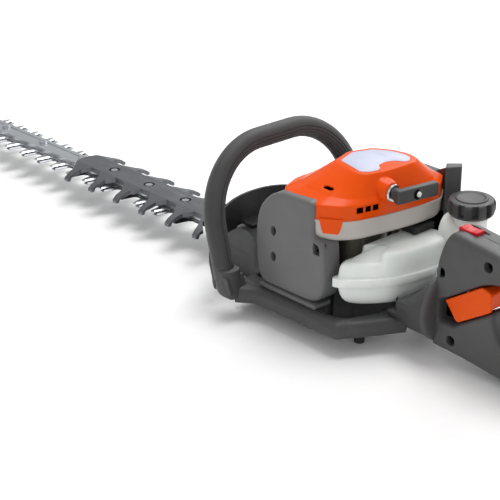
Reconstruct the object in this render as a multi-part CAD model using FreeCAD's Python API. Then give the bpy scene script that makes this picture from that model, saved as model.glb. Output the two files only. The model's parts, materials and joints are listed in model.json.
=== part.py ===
"""Petrol hedge trimmer with a double-sided blade and a turning rear handle.

Frame: +X forward along the blade, +Y to the left, +Z up.  The origin is on the ground under
the vertical crankshaft, on the flat underside of the gear case.  All sizes are millimetres.
"""
import FreeCAD, Part
import math
import os

V = FreeCAD.Vector

# Clearances
RUN = 0.06              # radial, shaft in hole
GAP = 0.5               # between bodies that move past each other
FIT = 0.05              # radial, fixed piece in its hole

# Blades and guide bar
TOOTH_PITCH = 37.0
TEETH_PER_SIDE = 16
FIRST_TOOTH_X = 289.0
TOOTH_TIP_Y = 35.6
TOOTH_ROOT_W = 21.0
TOOTH_TIP_W = 7.5
SIDE_STAGGER = -20.7
BLADE_HALF_W = 14.0
BLADE_T = 2.5
BLADE_BOTTOM_Z = 32.0
BLADE_GAP = 0.15
BLADE_TRAVEL = 9.0
LOWER_SET_BACK = 5.5
BLADE_REAR_X = 100.0
LINK_LAP = 22.0
BAR_HALF_W = 13.0
BAR_T = 6.0
BAR_REAR_X = 176.0
BAR_NOSE = 16.0
BOLT_R = 3.0
BOLT_HEAD_R = 5.4
BOLT_HEAD_T = 3.4
NUT_R = 5.6
NUT_T = 4.0
BAR_BOLT_PITCH = 92.5
BAR_BOLTS = 4
BAR_FIRST_BOLT_X = 523.3

# Blade guard
GUARD_BOLT_PITCH = 74.0
GUARD_FIRST_BOLT_X = 301.3
GUARD_BOLTS = 3
FINGER_PITCH = 53.2
FINGERS = 5
LAST_FINGER_X = 493.0
FINGER_TIP_Y = 49.4
FINGER_TIP_HALF = 4.2
FINGER_TIP_Z = 33.3
GUARD_T = 6.5
GUARD_BAND_Y = 22.0
WELL_R = 7.5
WELL_DEPTH = 3.9

# Gear case and drive
CASE_SPLIT_Z = 31.0
CASE_TOP_Z = 62.0
CASE_WALL = 5.0
CASE_REAR_X = -34.0
CASE_NOSE_X = 236.0
CASE_HALF_W = 57.0
CASE_NOSE_HALF_W = 22.0
GEAR_MODULE = 1.5
PINION_TEETH = 12
GEAR_TEETH = 52
GEAR_FACE = 6.0
GEAR_Z = 46.0
AXLE_R = 5.0
ECCENTRIC_R = 8.0
ROD_T = 4.0
ROD_RIM = 3.0
DRUM_R = 27.0
DRUM_WALL = 2.0
DRUM_H = 15.0
SHAFT_R = 6.0

# Engine
CRANKCASE_R = 33.0
CRANKCASE_TOP_Z = 117.0
CYL_AXIS_Z = 92.0
BORE_R = 16.0
STROKE = 28.0
CYL_WALL = 4.0
CYL_FRONT_X = 92.0
FIN_HALF = 27.0
FIN_T = 1.6
FIN_PITCH = 6.0
FINS = 8
WEB_R = 19.0
WEB_T = 5.0
PISTON_H = 24.0
FLYWHEEL_R = 43.0
FAN_BOTTOM_Z = 118.0
FAN_TOP_Z = 145.0
COVER_TOP_Z = 188.0
COVER_SHOULDER_Z = 161.0
COVER_WALL = 2.5
PULLEY_R = 24.0
PULLEY_T = 8.0
PULLEY_Z = 154.0
GRIP_TURN = -10.0
GUIDE_X = -60.0
GUIDE_Y = 10.0
GUIDE_Z = 168.0

# Side cover, muffler, air filter
SIDE_FACE_Y = 86.5
SIDE_WALL = 2.5
SIDE_FRONT_X = 88.0
SIDE_REAR_X = -16.0
SIDE_BOTTOM_Z = 42.0
SIDE_TOP_Z = 163.0
SIDE_SCREW_Z = 109.0
MUFFLER_WALL = 1.2
FILTER_TOP_Z = 178.0
FILTER_FRONT_Z = 150.0
FILTER_VIEW_TURN = -42.5
FILTER_BOTTOM_Z = 112.0
FILTER_REAR_X = -77.0
FILTER_OUT_Y = -122.0
FILTER_WALL = 2.5
CARB_FRONT_X = 6.0
CARB_MID_Y = -57.0
CARB_Z = 94.0
PRIMER_R = 9.0
KNOB_X = -26.0
KNOB_Z = 131.0
CHOKE_X = -50.0
CHOKE_Y = -104.0

# Fuel tank and cap
TANK_BOTTOM_Z = 46.0
TANK_TOP_Z = 108.0
TANK_LOBE_DROP = 8.0
TANK_REAR_X = -98.0
TANK_FRONT_X = -39.0
TANK_LEFT_Y = 80.0
TANK_STEP_Y = 38.0
TOWER_FRONT_X = -67.0
TANK_WALL = 2.0
NECK_X = -107.0
NECK_Y = -70.0
NECK_R = 19.0
NECK_TOP_Z = 140.0
CAP_R = 27.0
CAP_H = 20.5
CAP_BASE_Z = 134.5

# Frame and front handle
RAIL_Y = 89.0
RAIL_Z = 27.5
RAIL_R = 10.5
RAIL_REAR_X = -60.0
SWIVEL_Z = 57.0
BOSS_R = 40.0
BOSS_FRONT_X = -85.0
BOSS_REAR_X = -134.0
HANDLE_LEAN = 15.0
HANDLE_BASE_X = 93.0
HANDLE_BASE_Z = 22.0
HANDLE_HALF_W = 112.0
HANDLE_TOP_Z = 183.5
HANDLE_BEND_R = 86.0
HANDLE_CORE_R = 9.0
GRIP_R = 12.5
GRIP_START = 36.0
CORE_START = 10.5
PLATE_X = 176.0
PLATE_SIDE_X = 132.0
PLATE_HALF_W = 108.0
PLATE_SHOULDER_Z = 50.0
PLATE_TOP_Z = 100.0
PLATE_T = 3.5

# Rear handle
COLLAR_R = 42.0
COLLAR_L = 14.0
COLLAR_FRONT_X = -135.0
HANDLE_W = 22.0
SHELL_WALL = 3.0
PIVOT_TUBE_R = 14.0
PIVOT_TUBE_L = 18.0
TRIGGER_X = -216.0
TRIGGER_Z = 113.0
SCREW_R = 2.2
SCREW_HEAD_R = 4.2

BAR_BOTTOM_Z = BLADE_BOTTOM_Z + 2 * BLADE_T + 2 * BLADE_GAP
BAR_TOP_Z = BAR_BOTTOM_Z + BAR_T
UPPER_BLADE_Z = BLADE_BOTTOM_Z + BLADE_T + BLADE_GAP
UPPER_LINK_Z = UPPER_BLADE_Z + BLADE_T
LOWER_LINK_Z = BLADE_BOTTOM_Z - ROD_T
BAR_TIP_X = FIRST_TOOTH_X + (TEETH_PER_SIDE - 0.5) * TOOTH_PITCH
GEAR_X = GEAR_MODULE * (PINION_TEETH + GEAR_TEETH) / 2
GEAR_R = GEAR_MODULE * GEAR_TEETH / 2
ROD_EYE_R = ECCENTRIC_R + 2 * BLADE_TRAVEL + GAP
PISTON_REST_X = WEB_R + 8 + STROKE / 2


# ---------------------------------------------------------------- small helpers
def box(x0, x1, y0, y1, z0, z1):
    return Part.makeBox(x1 - x0, y1 - y0, z1 - z0, V(x0, y0, z0))


def rod(base, axis, radius, length):
    return Part.makeCylinder(radius, length, V(*base), V(*axis))


def tube(base, axis, outer, inner, length):
    return rod(base, axis, outer, length).cut(rod(base, axis, inner, length))


def prism(points, axis, start, end):
    """Closed outline in the plane square to the axis, carried from start to end."""
    place = {"x": lambda p: V(start, p[0], p[1]),
             "y": lambda p: V(p[0], start, p[1]),
             "z": lambda p: V(p[0], p[1], start)}[axis]
    corners = [place(p) for p in points]
    face = Part.Face(Part.makePolygon(corners + corners[:1]))
    run = {"x": V(1, 0, 0), "y": V(0, 1, 0), "z": V(0, 0, 1)}[axis]
    return face.extrude(run * (end - start))


def loft(levels):
    """Flat-sided solid through outlines of equal point counts at rising heights."""
    wires = []
    for z, points in levels:
        corners = [V(x, y, z) for x, y in points]
        wires.append(Part.makePolygon(corners + corners[:1]))
    return Part.makeLoft(wires, True, True)


def toward(points, centre, share):
    cx, cy = centre
    return [(cx + (x - cx) * share, cy + (y - cy) * share) for x, y in points]


def inset(points, depth):
    """Outline moved inwards by depth, each side kept parallel; negative moves it outwards."""
    moved = []
    count = len(points)
    area = sum(points[i - 1][0] * points[i][1] - points[i][0] * points[i - 1][1] for i in range(count))
    turn = 1 if area > 0 else -1
    for i in range(count):
        ax, ay = points[i - 1]
        bx, by = points[i]
        cx, cy = points[(i + 1) % count]
        n1 = unit(-(by - ay) * turn, (bx - ax) * turn)
        n2 = unit(-(cy - by) * turn, (cx - bx) * turn)
        scale = depth / (1 + n1[0] * n2[0] + n1[1] * n2[1])
        moved.append((bx + (n1[0] + n2[0]) * scale, by + (n1[1] + n2[1]) * scale))
    return moved


def unit(x, y):
    length = math.hypot(x, y)
    return (x / length, y / length)


def fuse(first, *others):
    return first.multiFuse(list(others)).removeSplitter()


def cut(solid, *tools):
    return solid.cut(list(tools))


def hexagon(x, y, radius):
    return [(x + radius * math.cos(math.radians(60 * k)), y + radius * math.sin(math.radians(60 * k)))
            for k in range(6)]


def turned(shape, centre, axis, degrees):
    copy = shape.copy()
    copy.rotate(V(*centre), V(*axis), degrees)
    return copy


def mirrored(shape):
    return shape.mirror(V(0, 0, 0), V(0, 1, 0))


def both_sides(shape):
    return [shape, mirrored(shape)]


def save(name, *solids):
    shape = solids[0] if len(solids) == 1 else Part.makeCompound(list(solids))
    assert all(s.isValid() for s in shape.Solids) and shape.Solids, name
    shape.exportStep("parts/" + name + ".step")


# ---------------------------------------------------------------- blades and bar
def bolt_places():
    guard = [GUARD_FIRST_BOLT_X + k * GUARD_BOLT_PITCH for k in range(GUARD_BOLTS)]
    bar = [BAR_FIRST_BOLT_X + k * BAR_BOLT_PITCH for k in range(BAR_BOLTS)]
    return guard, bar


def blade_outline(offset):
    """Strip with trapezoid teeth: along the left side forwards, then back along the right."""
    left = []
    for k in range(TEETH_PER_SIDE):
        x = FIRST_TOOTH_X + k * TOOTH_PITCH + offset
        left += tooth_points(x, 1)
    right = []
    for k in range(TEETH_PER_SIDE):
        x = FIRST_TOOTH_X + SIDE_STAGGER + k * TOOTH_PITCH + offset
        right += tooth_points(x, -1)
    tip = BAR_TIP_X - TOOTH_PITCH / 4 + offset
    rear = BLADE_REAR_X + offset
    start = [(rear, -BLADE_HALF_W), (rear, BLADE_HALF_W)]
    nose = [(tip, BLADE_HALF_W * 0.6), (tip, -BLADE_HALF_W * 0.6)]
    return start + left + nose + right[::-1]


def tooth_points(x, side):
    half_root = TOOTH_ROOT_W / 2
    half_tip = TOOTH_TIP_W / 2
    return [(x - half_root, side * BLADE_HALF_W), (x - half_tip, side * TOOTH_TIP_Y),
            (x + half_tip, side * TOOTH_TIP_Y), (x + half_root, side * BLADE_HALF_W)]


def blade(z, offset):
    plate = prism(blade_outline(offset), "z", z, z + BLADE_T)
    guard, bar = bolt_places()
    reach = BLADE_TRAVEL + LOWER_SET_BACK + GAP
    slots = []
    for x in guard + bar:
        wide = BOLT_R + GAP
        slots.append(box(x - reach, x + reach, -wide, wide, z - 1, z + BLADE_T + 1))
        slots += [rod((x + e, 0, z - 1), (0, 0, 1), wide, BLADE_T + 2) for e in (-reach, reach)]
    return cut(plate, *slots)


def connecting_link(z, offset):
    """Link from a blade's heel to a wide eye round its eccentric."""
    eye = rod((GEAR_X, 0, z), (0, 0, 1), ROD_EYE_R + ROD_RIM, ROD_T)
    arm = box(GEAR_X + ROD_EYE_R, BLADE_REAR_X + LINK_LAP + offset, -8, 8, z, z + ROD_T)
    hole = rod((GEAR_X, 0, z - 1), (0, 0, 1), ROD_EYE_R, ROD_T + 2)
    return cut(fuse(eye, arm), hole)


def guide_bar():
    half = BAR_HALF_W
    nose = BAR_TIP_X - BAR_NOSE
    outline = [(BAR_REAR_X, -half), (nose, -half), (BAR_TIP_X - 4, -half * 0.55), (BAR_TIP_X, 0),
               (BAR_TIP_X - 4, half * 0.55), (nose, half), (BAR_REAR_X, half)]
    bar = prism(outline, "z", BAR_BOTTOM_Z, BAR_TOP_Z)
    guard, rest = bolt_places()
    holes = [rod((x, 0, BAR_BOTTOM_Z - 1), (0, 0, 1), BOLT_R + FIT, BAR_T + 2) for x in guard + rest]
    groove = box(BAR_REAR_X + 300, nose - 10, -half + 6, half - 6, BAR_TOP_Z - 0.8, BAR_TOP_Z + 1)
    pads = [rod((x, 0, BAR_TOP_Z - 2), (0, 0, 1), BOLT_HEAD_R + 1.5, 4) for x in guard + rest]
    return cut(bar, cut(groove, *pads), *holes)


def bar_bolt(x, seat):
    head = prism(hexagon(x, 0, BOLT_HEAD_R), "z", seat, seat + BOLT_HEAD_T)
    shank = rod((x, 0, BLADE_BOTTOM_Z - NUT_T - 2), (0, 0, 1), BOLT_R, seat - BLADE_BOTTOM_Z + NUT_T + 2)
    return fuse(head, shank)


def bar_nut(x):
    top = BLADE_BOTTOM_Z - BLADE_GAP
    nut = prism(hexagon(x, 0, NUT_R), "z", top - NUT_T, top)
    return cut(nut, rod((x, 0, top - NUT_T - 1), (0, 0, 1), BOLT_R + FIT, NUT_T + 2))


def guard_outline():
    """Plan of the guard: a band over the bar with a slanting finger at every pitch."""
    first = LAST_FINGER_X - (FINGERS - 1) * FINGER_PITCH
    band = BAR_HALF_W + 2.5
    tip = FINGER_TIP_Y
    beside_case = first - FINGER_PITCH
    rear = CASE_NOSE_X + GAP
    left = [(rear, band), (rear, 27), (beside_case - FINGER_TIP_HALF, 38),
            (beside_case - FINGER_TIP_HALF, tip), (beside_case + FINGER_TIP_HALF, tip),
            (beside_case + 10, 34), (beside_case + 21, band + 2)]
    for k in range(FINGERS):
        x = first + k * FINGER_PITCH
        left += [(x - 15, band + 2), (x - 6, 28), (x - FINGER_TIP_HALF, 38),
                 (x - FINGER_TIP_HALF, tip), (x + FINGER_TIP_HALF, tip), (x + 7, 31),
                 (x + 18, band + 2)]
    front = LAST_FINGER_X + 19
    left += [(front, band * 0.8), (front + 3, band * 0.4)]
    right = [(x, -y) for x, y in reversed(left)]
    return left + right


def blade_guard():
    """Plan outline with fingers, met with one section that droops over the teeth."""
    top = BAR_TOP_Z + GUARD_T
    clear = UPPER_BLADE_Z + BLADE_T + GAP
    half = [(16, top), (GUARD_BAND_Y, top - 1.5), (36, top - 6), (44, top - 9), (FINGER_TIP_Y, top - 13),
            (FINGER_TIP_Y, FINGER_TIP_Z), (FINGER_TIP_Y - 4, FINGER_TIP_Z), (FINGER_TIP_Y - 6, clear),
            (TOOTH_TIP_Y + 1, clear + 0.6), (26, clear + 3.5), (16, BAR_TOP_Z)]
    section = half + [(-y, z) for y, z in reversed(half)]
    front = LAST_FINGER_X + 40
    body = prism(guard_outline(), "z", FINGER_TIP_Z - 1, top + 1)
    body = body.common(prism(section, "x", CASE_NOSE_X - 20, front))
    guard, _ = bolt_places()
    wells = [rod((x, 0, top - WELL_DEPTH), (0, 0, 1), WELL_R, WELL_DEPTH + 1) for x in guard]
    holes = [rod((x, 0, BAR_TOP_Z - 1), (0, 0, 1), BOLT_R + FIT, GUARD_T + 2) for x in guard]
    return cut(body, *(wells + holes))


# ---------------------------------------------------------------- gear case and drive
def case_outline(depth):
    neck = GEAR_X + GEAR_R + 12
    half = [(CASE_REAR_X, CASE_HALF_W - 18), (CASE_REAR_X + 16, CASE_HALF_W - 4), (neck, CASE_HALF_W - 4),
            (neck + 50, CASE_NOSE_HALF_W + 8), (CASE_NOSE_X, CASE_NOSE_HALF_W)]
    ring = [(x, -y) for x, y in half] + [(x, y) for x, y in reversed(half)]
    return inset(ring, depth) if depth else ring


def case_side_profile():
    """Side view of the whole case: flat bottom, nose rising to the blade, stepped top."""
    return [(CASE_REAR_X, 8), (CASE_REAR_X + 10, 0), (CASE_NOSE_X - 56, 0),
            (CASE_NOSE_X, BLADE_BOTTOM_Z - 8), (CASE_NOSE_X, BAR_TOP_Z + 5),
            (CASE_NOSE_X - 60, CASE_TOP_Z - 4), (CASE_NOSE_X - 76, CASE_TOP_Z), (CASE_REAR_X, CASE_TOP_Z)]


def case_screw_places():
    neck = GEAR_X + GEAR_R + 12
    y = CASE_HALF_W + 1
    return [(CASE_REAR_X + 24, y), (GEAR_X + 5, y), (neck - 8, y)]


def case_cavity():
    neck = GEAR_X + GEAR_R + 12
    room = prism(inset(case_outline(0), CASE_WALL), "z", CASE_WALL, CASE_TOP_Z - CASE_WALL)
    room = room.common(box(CASE_REAR_X, neck + 42, -90, 90, 0, 90))
    mouth = box(neck, CASE_NOSE_X + 5, -BLADE_HALF_W - 1, BLADE_HALF_W + 1,
                BLADE_BOTTOM_Z - NUT_T, BAR_BOTTOM_Z)
    seat = box(BAR_REAR_X - 1, CASE_NOSE_X + 5, -BAR_HALF_W - FIT, BAR_HALF_W + FIT,
               BAR_BOTTOM_Z - 1, BAR_TOP_Z)
    return [room, mouth, seat]


def gear_case():
    whole = prism(case_outline(0), "z", 0, CASE_TOP_Z).common(
        prism(case_side_profile(), "y", -CASE_HALF_W, CASE_HALF_W))
    whole = cut(whole, *case_cavity())
    ears = []
    drills = []
    for x, y in case_screw_places():
        ears += both_sides(rod((x, y, CASE_SPLIT_Z - 14), (0, 0, 1), 7, 28).cut(whole))
        drills += both_sides(rod((x, y, CASE_SPLIT_Z - 20), (0, 0, 1), SCREW_R + FIT, 50))
    whole = cut(fuse(whole, *ears), *(drills + case_cavity()))
    below = box(-300, 400, -200, 200, -1, CASE_SPLIT_Z)
    above = box(-300, 400, -200, 200, CASE_SPLIT_Z, 200)
    drum_hole = rod((0, 0, CASE_TOP_Z - CASE_WALL - 1), (0, 0, 1), DRUM_R + 3, CASE_WALL + 2)
    pinion_post = tube((0, 0, CASE_WALL), (0, 0, 1), SHAFT_R + 7, SHAFT_R + FIT + 6, 12)
    axle_post = tube((GEAR_X, 0, CASE_WALL), (0, 0, 1), AXLE_R + 5, AXLE_R + FIT, 10)
    lower = fuse(whole.common(below), pinion_post, axle_post)
    upper = cut(whole.common(above), drum_hole)
    return upper, lower


def case_screw(x, y):
    low = CASE_SPLIT_Z - 14
    head = prism(hexagon(x, y, SCREW_HEAD_R), "z", low - 4, low)
    return fuse(head, rod((x, y, low), (0, 0, 1), SCREW_R, 26))


def toothed_disc(x, teeth, z, height, phase):
    """Straight-flanked gear teeth, thinned for backlash."""
    pitch_r = GEAR_MODULE * teeth / 2
    outer = pitch_r + 0.8 * GEAR_MODULE
    root = pitch_r - 1.15 * GEAR_MODULE
    step = 2 * math.pi / teeth
    points = []
    for k in range(teeth):
        centre = (k + phase) * step
        for radius, share in ((root, -0.26), (outer, -0.11), (outer, 0.11), (root, 0.26)):
            angle = centre + share * step
            points.append((x + radius * math.cos(angle), radius * math.sin(angle)))
    return prism(points, "z", z, z + height)


def drive_gear():
    """Gear with an eccentric above and one below, half a turn apart."""
    disc = toothed_disc(GEAR_X, GEAR_TEETH, GEAR_Z, GEAR_FACE, 0.5)
    first = rod((GEAR_X, BLADE_TRAVEL, UPPER_LINK_Z), (0, 0, 1), ECCENTRIC_R, GEAR_Z - UPPER_LINK_Z)
    second = rod((GEAR_X, -BLADE_TRAVEL, LOWER_LINK_Z), (0, 0, 1), ECCENTRIC_R, ROD_T)
    hub = rod((GEAR_X, 0, LOWER_LINK_Z - 2), (0, 0, 1), AXLE_R + 3, GEAR_Z + GEAR_FACE + 3 - LOWER_LINK_Z)
    bore = rod((GEAR_X, 0, 0), (0, 0, 1), AXLE_R + RUN, CASE_TOP_Z)
    return cut(fuse(disc, first, second, hub), bore)


def gear_axle():
    return rod((GEAR_X, 0, CASE_WALL), (0, 0, 1), AXLE_R, CASE_TOP_Z - 2 * CASE_WALL)


def clutch_drum():
    """Open drum with the pinion on its lower shaft."""
    floor = CASE_TOP_Z - CASE_WALL + 1
    cup = rod((0, 0, floor), (0, 0, 1), DRUM_R, DRUM_H)
    inside = rod((0, 0, floor + DRUM_WALL), (0, 0, 1), DRUM_R - DRUM_WALL, DRUM_H)
    pinion = toothed_disc(0, PINION_TEETH, GEAR_Z - 1, floor - GEAR_Z + 1, 0)
    shaft = rod((0, 0, CASE_WALL + 1), (0, 0, 1), SHAFT_R, GEAR_Z - CASE_WALL)
    return fuse(cut(cup, inside), pinion, shaft)


def pinion_bearing():
    return tube((0, 0, CASE_WALL + 2), (0, 0, 1), SHAFT_R + 6, SHAFT_R + RUN, 9)


# ---------------------------------------------------------------- engine
def crankcase():
    base = CASE_TOP_Z
    outside = rod((0, 0, base), (0, 0, 1), CRANKCASE_R + 2, CRANKCASE_TOP_Z - base)
    foot = box(-30, 30, -CASE_HALF_W + 12, CASE_HALF_W - 12, base, base + 5)
    face = box(0, CRANKCASE_R + 2, -BORE_R - 8, BORE_R + 8, CYL_AXIS_Z - BORE_R - 8, CYL_AXIS_Z + BORE_R + 8)
    drum_room = rod((0, 0, base - 1), (0, 0, 1), DRUM_R + 3, DRUM_H + 2)
    web_room = rod((0, 0, CYL_AXIS_Z - 14), (0, 0, 1), WEB_R + 2, 28)
    bore = rod((0, 0, CYL_AXIS_Z), (1, 0, 0), BORE_R, 60)
    shaft = rod((0, 0, base), (0, 0, 1), SHAFT_R + 6 + FIT, CRANKCASE_TOP_Z)
    mouth = rod((0, 0, base - 1), (0, 0, 1), DRUM_R + 3, 7)
    return cut(fuse(outside, foot, face), drum_room, web_room, bore, shaft, mouth)


def crank_bearings():
    low = CYL_AXIS_Z - 14 - 7
    high = CYL_AXIS_Z + 14 + 1
    return [tube((0, 0, z), (0, 0, 1), SHAFT_R + 6, SHAFT_R + RUN, 6) for z in (low + 0.5, high)]


def crankshaft():
    low = CASE_TOP_Z + 4
    lower = rod((0, 0, low), (0, 0, 1), SHAFT_R, CYL_AXIS_Z - 6 - low)
    upper = rod((0, 0, CYL_AXIS_Z + 6), (0, 0, 1), SHAFT_R, FAN_TOP_Z - CYL_AXIS_Z - 8)
    webs = [rod((0, 0, z), (0, 0, 1), WEB_R, WEB_T) for z in (CYL_AXIS_Z - 6 - WEB_T, CYL_AXIS_Z + 6)]
    pin = rod((-STROKE / 2, 0, CYL_AXIS_Z - 7), (0, 0, 1), 3.5, 14)
    return fuse(lower, upper, pin, *webs)


def clutch_shoes():
    """Two weights on the crankshaft's end, inside the drum."""
    z = CASE_TOP_Z - CASE_WALL + DRUM_WALL + 2
    ring = tube((0, 0, z), (0, 0, 1), DRUM_R - DRUM_WALL - 1, 12, 8)
    split = box(-40, 40, -1.5, 1.5, z - 1, z + 9)
    hub = tube((0, 0, z), (0, 0, 1), 11, SHAFT_R + FIT, 8)
    arm = [box(-14, -10, -4, 4, z + 1, z + 7), box(10, 14, -4, 4, z + 1, z + 7)]
    return fuse(cut(ring, split), fuse(hub, *arm))


def piston():
    rest = PISTON_REST_X
    body = rod((rest, 0, CYL_AXIS_Z), (1, 0, 0), BORE_R - RUN, PISTON_H)
    hollow = rod((rest - 1, 0, CYL_AXIS_Z), (1, 0, 0), BORE_R - 3, PISTON_H - 3)
    grooves = [tube((rest + PISTON_H - 4 - 3 * k, 0, CYL_AXIS_Z), (1, 0, 0), BORE_R + 1, BORE_R - 1, 1.2)
               for k in range(2)]
    pin = rod((rest + 11, -BORE_R + 2, CYL_AXIS_Z), (0, 1, 0), 3.5, 2 * BORE_R - 4)
    return fuse(cut(body, hollow, *grooves), pin)


def piston_rod():
    eye_x = PISTON_REST_X + 11
    eye = tube((eye_x, -4, CYL_AXIS_Z), (0, 1, 0), 6.5, 3.5 + RUN, 8)
    shank = box(PISTON_REST_X - 6, eye_x - 5, -4, 4, CYL_AXIS_Z - 3, CYL_AXIS_Z + 3)
    return fuse(eye, shank)


def cylinder():
    """Barrel with square cooling fins, pointing forwards."""
    start = CRANKCASE_R + 2
    length = CYL_FRONT_X - start
    barrel = rod((start, 0, CYL_AXIS_Z), (1, 0, 0), BORE_R + CYL_WALL, length)
    flange = box(start, start + 4, -BORE_R - 8, BORE_R + 8, CYL_AXIS_Z - BORE_R - 8, CYL_AXIS_Z + BORE_R + 8)
    fins = []
    for k in range(FINS):
        x = start + 8 + k * FIN_PITCH
        half = FIN_HALF if k % 2 else FIN_HALF - 1.5
        fins.append(box(x, x + FIN_T, -half, half, CYL_AXIS_Z - half + 3, CYL_AXIS_Z + half - 3))
    bore = rod((start - 1, 0, CYL_AXIS_Z), (1, 0, 0), BORE_R, length - 5)
    plug = rod((start, 0, CYL_AXIS_Z), (1, 0, 0), 5 + FIT, length + 2)
    return cut(fuse(barrel, flange, *fins), bore, plug)


def spark_plug():
    shell_x = CYL_FRONT_X - 6
    thread = rod((shell_x, 0, CYL_AXIS_Z), (1, 0, 0), 5, 6)
    nut = prism(hexagon(0, CYL_AXIS_Z, 7.5), "x", CYL_FRONT_X, CYL_FRONT_X + 6)
    porcelain = rod((CYL_FRONT_X + 6, 0, CYL_AXIS_Z), (1, 0, 0), 4, 8)
    return fuse(thread, nut, porcelain)


def spark_plug_cap():
    x = CYL_FRONT_X + 7
    outside = rod((x, 0, CYL_AXIS_Z), (1, 0, 0), 8, 14)
    elbow = rod((x + 8, 0, CYL_AXIS_Z), (0, 0, 1), 6, 22)
    return cut(fuse(outside, elbow), rod((x - 1, 0, CYL_AXIS_Z), (1, 0, 0), 4 + FIT, 8.2))


def flywheel():
    z = FAN_BOTTOM_Z + 3
    disc = rod((0, 0, z), (0, 0, 1), FLYWHEEL_R, 4)
    hub = rod((0, 0, z), (0, 0, 1), 12, 16)
    vanes = []
    for k in range(16):
        vane = box(20, FLYWHEEL_R - 1, -1, 1, z + 3, z + 18)
        vanes.append(turned(turned(vane, (20, 0, 0), (0, 0, 1), 20), (0, 0, 0), (0, 0, 1), 22.5 * k))
    return cut(fuse(disc, hub, *vanes), rod((0, 0, z - 1), (0, 0, 1), SHAFT_R + FIT, 20))


def engine_outline():
    """Plan of the fan housing and the cover above it, corner by corner."""
    return [(58, 42), (46, 70), (28, 82), (-18, 82), (-40, 68), (-51, 50), (-57, 22), (-62, -5),
            (-66, -34), (-66, -66), (-48, -90), (18, -92), (48, -80), (60, -40)]


def fan_housing():
    """Shallow tray under the fan, drawn in towards its floor, open above."""
    plan = engine_outline()
    rim = inset(plan, -1.5)
    low = inset(plan, 5)
    outside = loft([(FAN_BOTTOM_Z, low), (FAN_BOTTOM_Z + 6, plan), (FAN_TOP_Z - 2, rim)])
    room = prism(inset(low, COVER_WALL), "z", FAN_BOTTOM_Z + COVER_WALL, FAN_TOP_Z + 5)
    eye = rod((0, 0, FAN_BOTTOM_Z - 1), (0, 0, 1), 28, COVER_WALL + 2)
    return cut(outside, room, eye)


def cover_levels(depth, drop):
    plan = inset(engine_outline(), depth) if depth else engine_outline()
    middle = (-12, -6)
    return [(FAN_TOP_Z - 2, plan), (COVER_SHOULDER_Z - drop, plan),
            (COVER_SHOULDER_Z + 14 - drop, toward(plan, middle, 0.86)),
            (COVER_TOP_Z - drop, toward(plan, middle, 0.52))]


def starter_cover():
    outside = loft(cover_levels(0, 0))
    boss = rod((GUIDE_X - 2, GUIDE_Y, GUIDE_Z), (1, 0, 0), 11, 26)
    room = loft(cover_levels(COVER_WALL, COVER_WALL))
    vents = [box(-70, -40, y, y + 7, 151.5, 158.5) for y in (26.2, 36, 45.8)]
    rope = rod((GUIDE_X - 3, GUIDE_Y, GUIDE_Z), (1, 0, 0), 6 + FIT, 34)
    post = tube((0, 0, PULLEY_Z + PULLEY_T + 1.5), (0, 0, 1), 8, 0.5, COVER_TOP_Z - PULLEY_Z - PULLEY_T - 4)
    shell = cut(fuse(outside, boss), room, rope, *vents)
    return fuse(shell, post.common(loft(cover_levels(COVER_WALL / 2, COVER_WALL / 2))))


def name_plate():
    plan = toward(engine_outline(), (-12, -6), 0.44)
    return prism(plan, "z", COVER_TOP_Z, COVER_TOP_Z + 0.6)


def rope_guide():
    x = GUIDE_X - 3
    flange = tube((x - 1.5, GUIDE_Y, GUIDE_Z), (1, 0, 0), 9, 2.6, 2.4)
    sleeve = tube((x, GUIDE_Y, GUIDE_Z), (1, 0, 0), 6, 2.6, 12)
    return fuse(flange, sleeve)


def starter_pulley():
    disc = rod((0, 0, PULLEY_Z), (0, 0, 1), PULLEY_R + 3, PULLEY_T)
    groove = tube((0, 0, PULLEY_Z + 2), (0, 0, 1), PULLEY_R + 5, PULLEY_R - 5, PULLEY_T - 4)
    return cut(disc, groove, rod((0, 0, PULLEY_Z - 1), (0, 0, 1), 4, PULLEY_T + 2))


def pulley_screw():
    z = PULLEY_Z
    head = rod((0, 0, z - 3), (0, 0, 1), 7, 2.5)
    return fuse(head, rod((0, 0, z - 1), (0, 0, 1), 4 - RUN, PULLEY_T + 2.5))


def starter_grip():
    """Pull bar across the cover's back, with a neck that seats in the rope guide."""
    x = GUIDE_X - 6
    bar = box(x - 14, x - 4, GUIDE_Y - 46, GUIDE_Y + 8, GUIDE_Z - 8, GUIDE_Z + 8)
    bar = bar.makeFillet(2.5, bar.Edges)
    neck = rod((x - 8, GUIDE_Y, GUIDE_Z), (1, 0, 0), 7, 9)
    recess = rod((x - 15, GUIDE_Y - 18, GUIDE_Z), (1, 0, 0), 5, 6)
    return fuse(turned(cut(bar, recess), (x - 9, GUIDE_Y, GUIDE_Z), (0, 0, 1), GRIP_TURN), neck)


def rope_knot():
    x = GUIDE_X - 6
    ball = Part.makeSphere(3.4, V(x - 12.4, GUIDE_Y - 18, GUIDE_Z))
    ball = ball.cut(box(x - 9 - FIT, x + 20, -60, 60, 100, 300))
    return turned(ball, (x - 9, GUIDE_Y, GUIDE_Z), (0, 0, 1), GRIP_TURN)


def muffler():
    front = CYL_FRONT_X - 16
    rear = CRANKCASE_R - 9
    near = FIN_HALF + 3
    far = SIDE_FACE_Y - 10
    low = CASE_TOP_Z + 8
    top = FAN_BOTTOM_Z - 2
    wall = MUFFLER_WALL
    outside = box(rear, front, near, far, low, top)
    outside = outside.makeFillet(5, outside.Edges)
    inside = box(rear + wall, front - wall, near + wall, far - wall, low + wall, top - wall)
    inside = inside.makeFillet(4, inside.Edges)
    outlet = rod((front - 4, far - 12, low + 12), (1, 0, 0), 5, 9)
    return cut(outside, inside, outlet)


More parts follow.
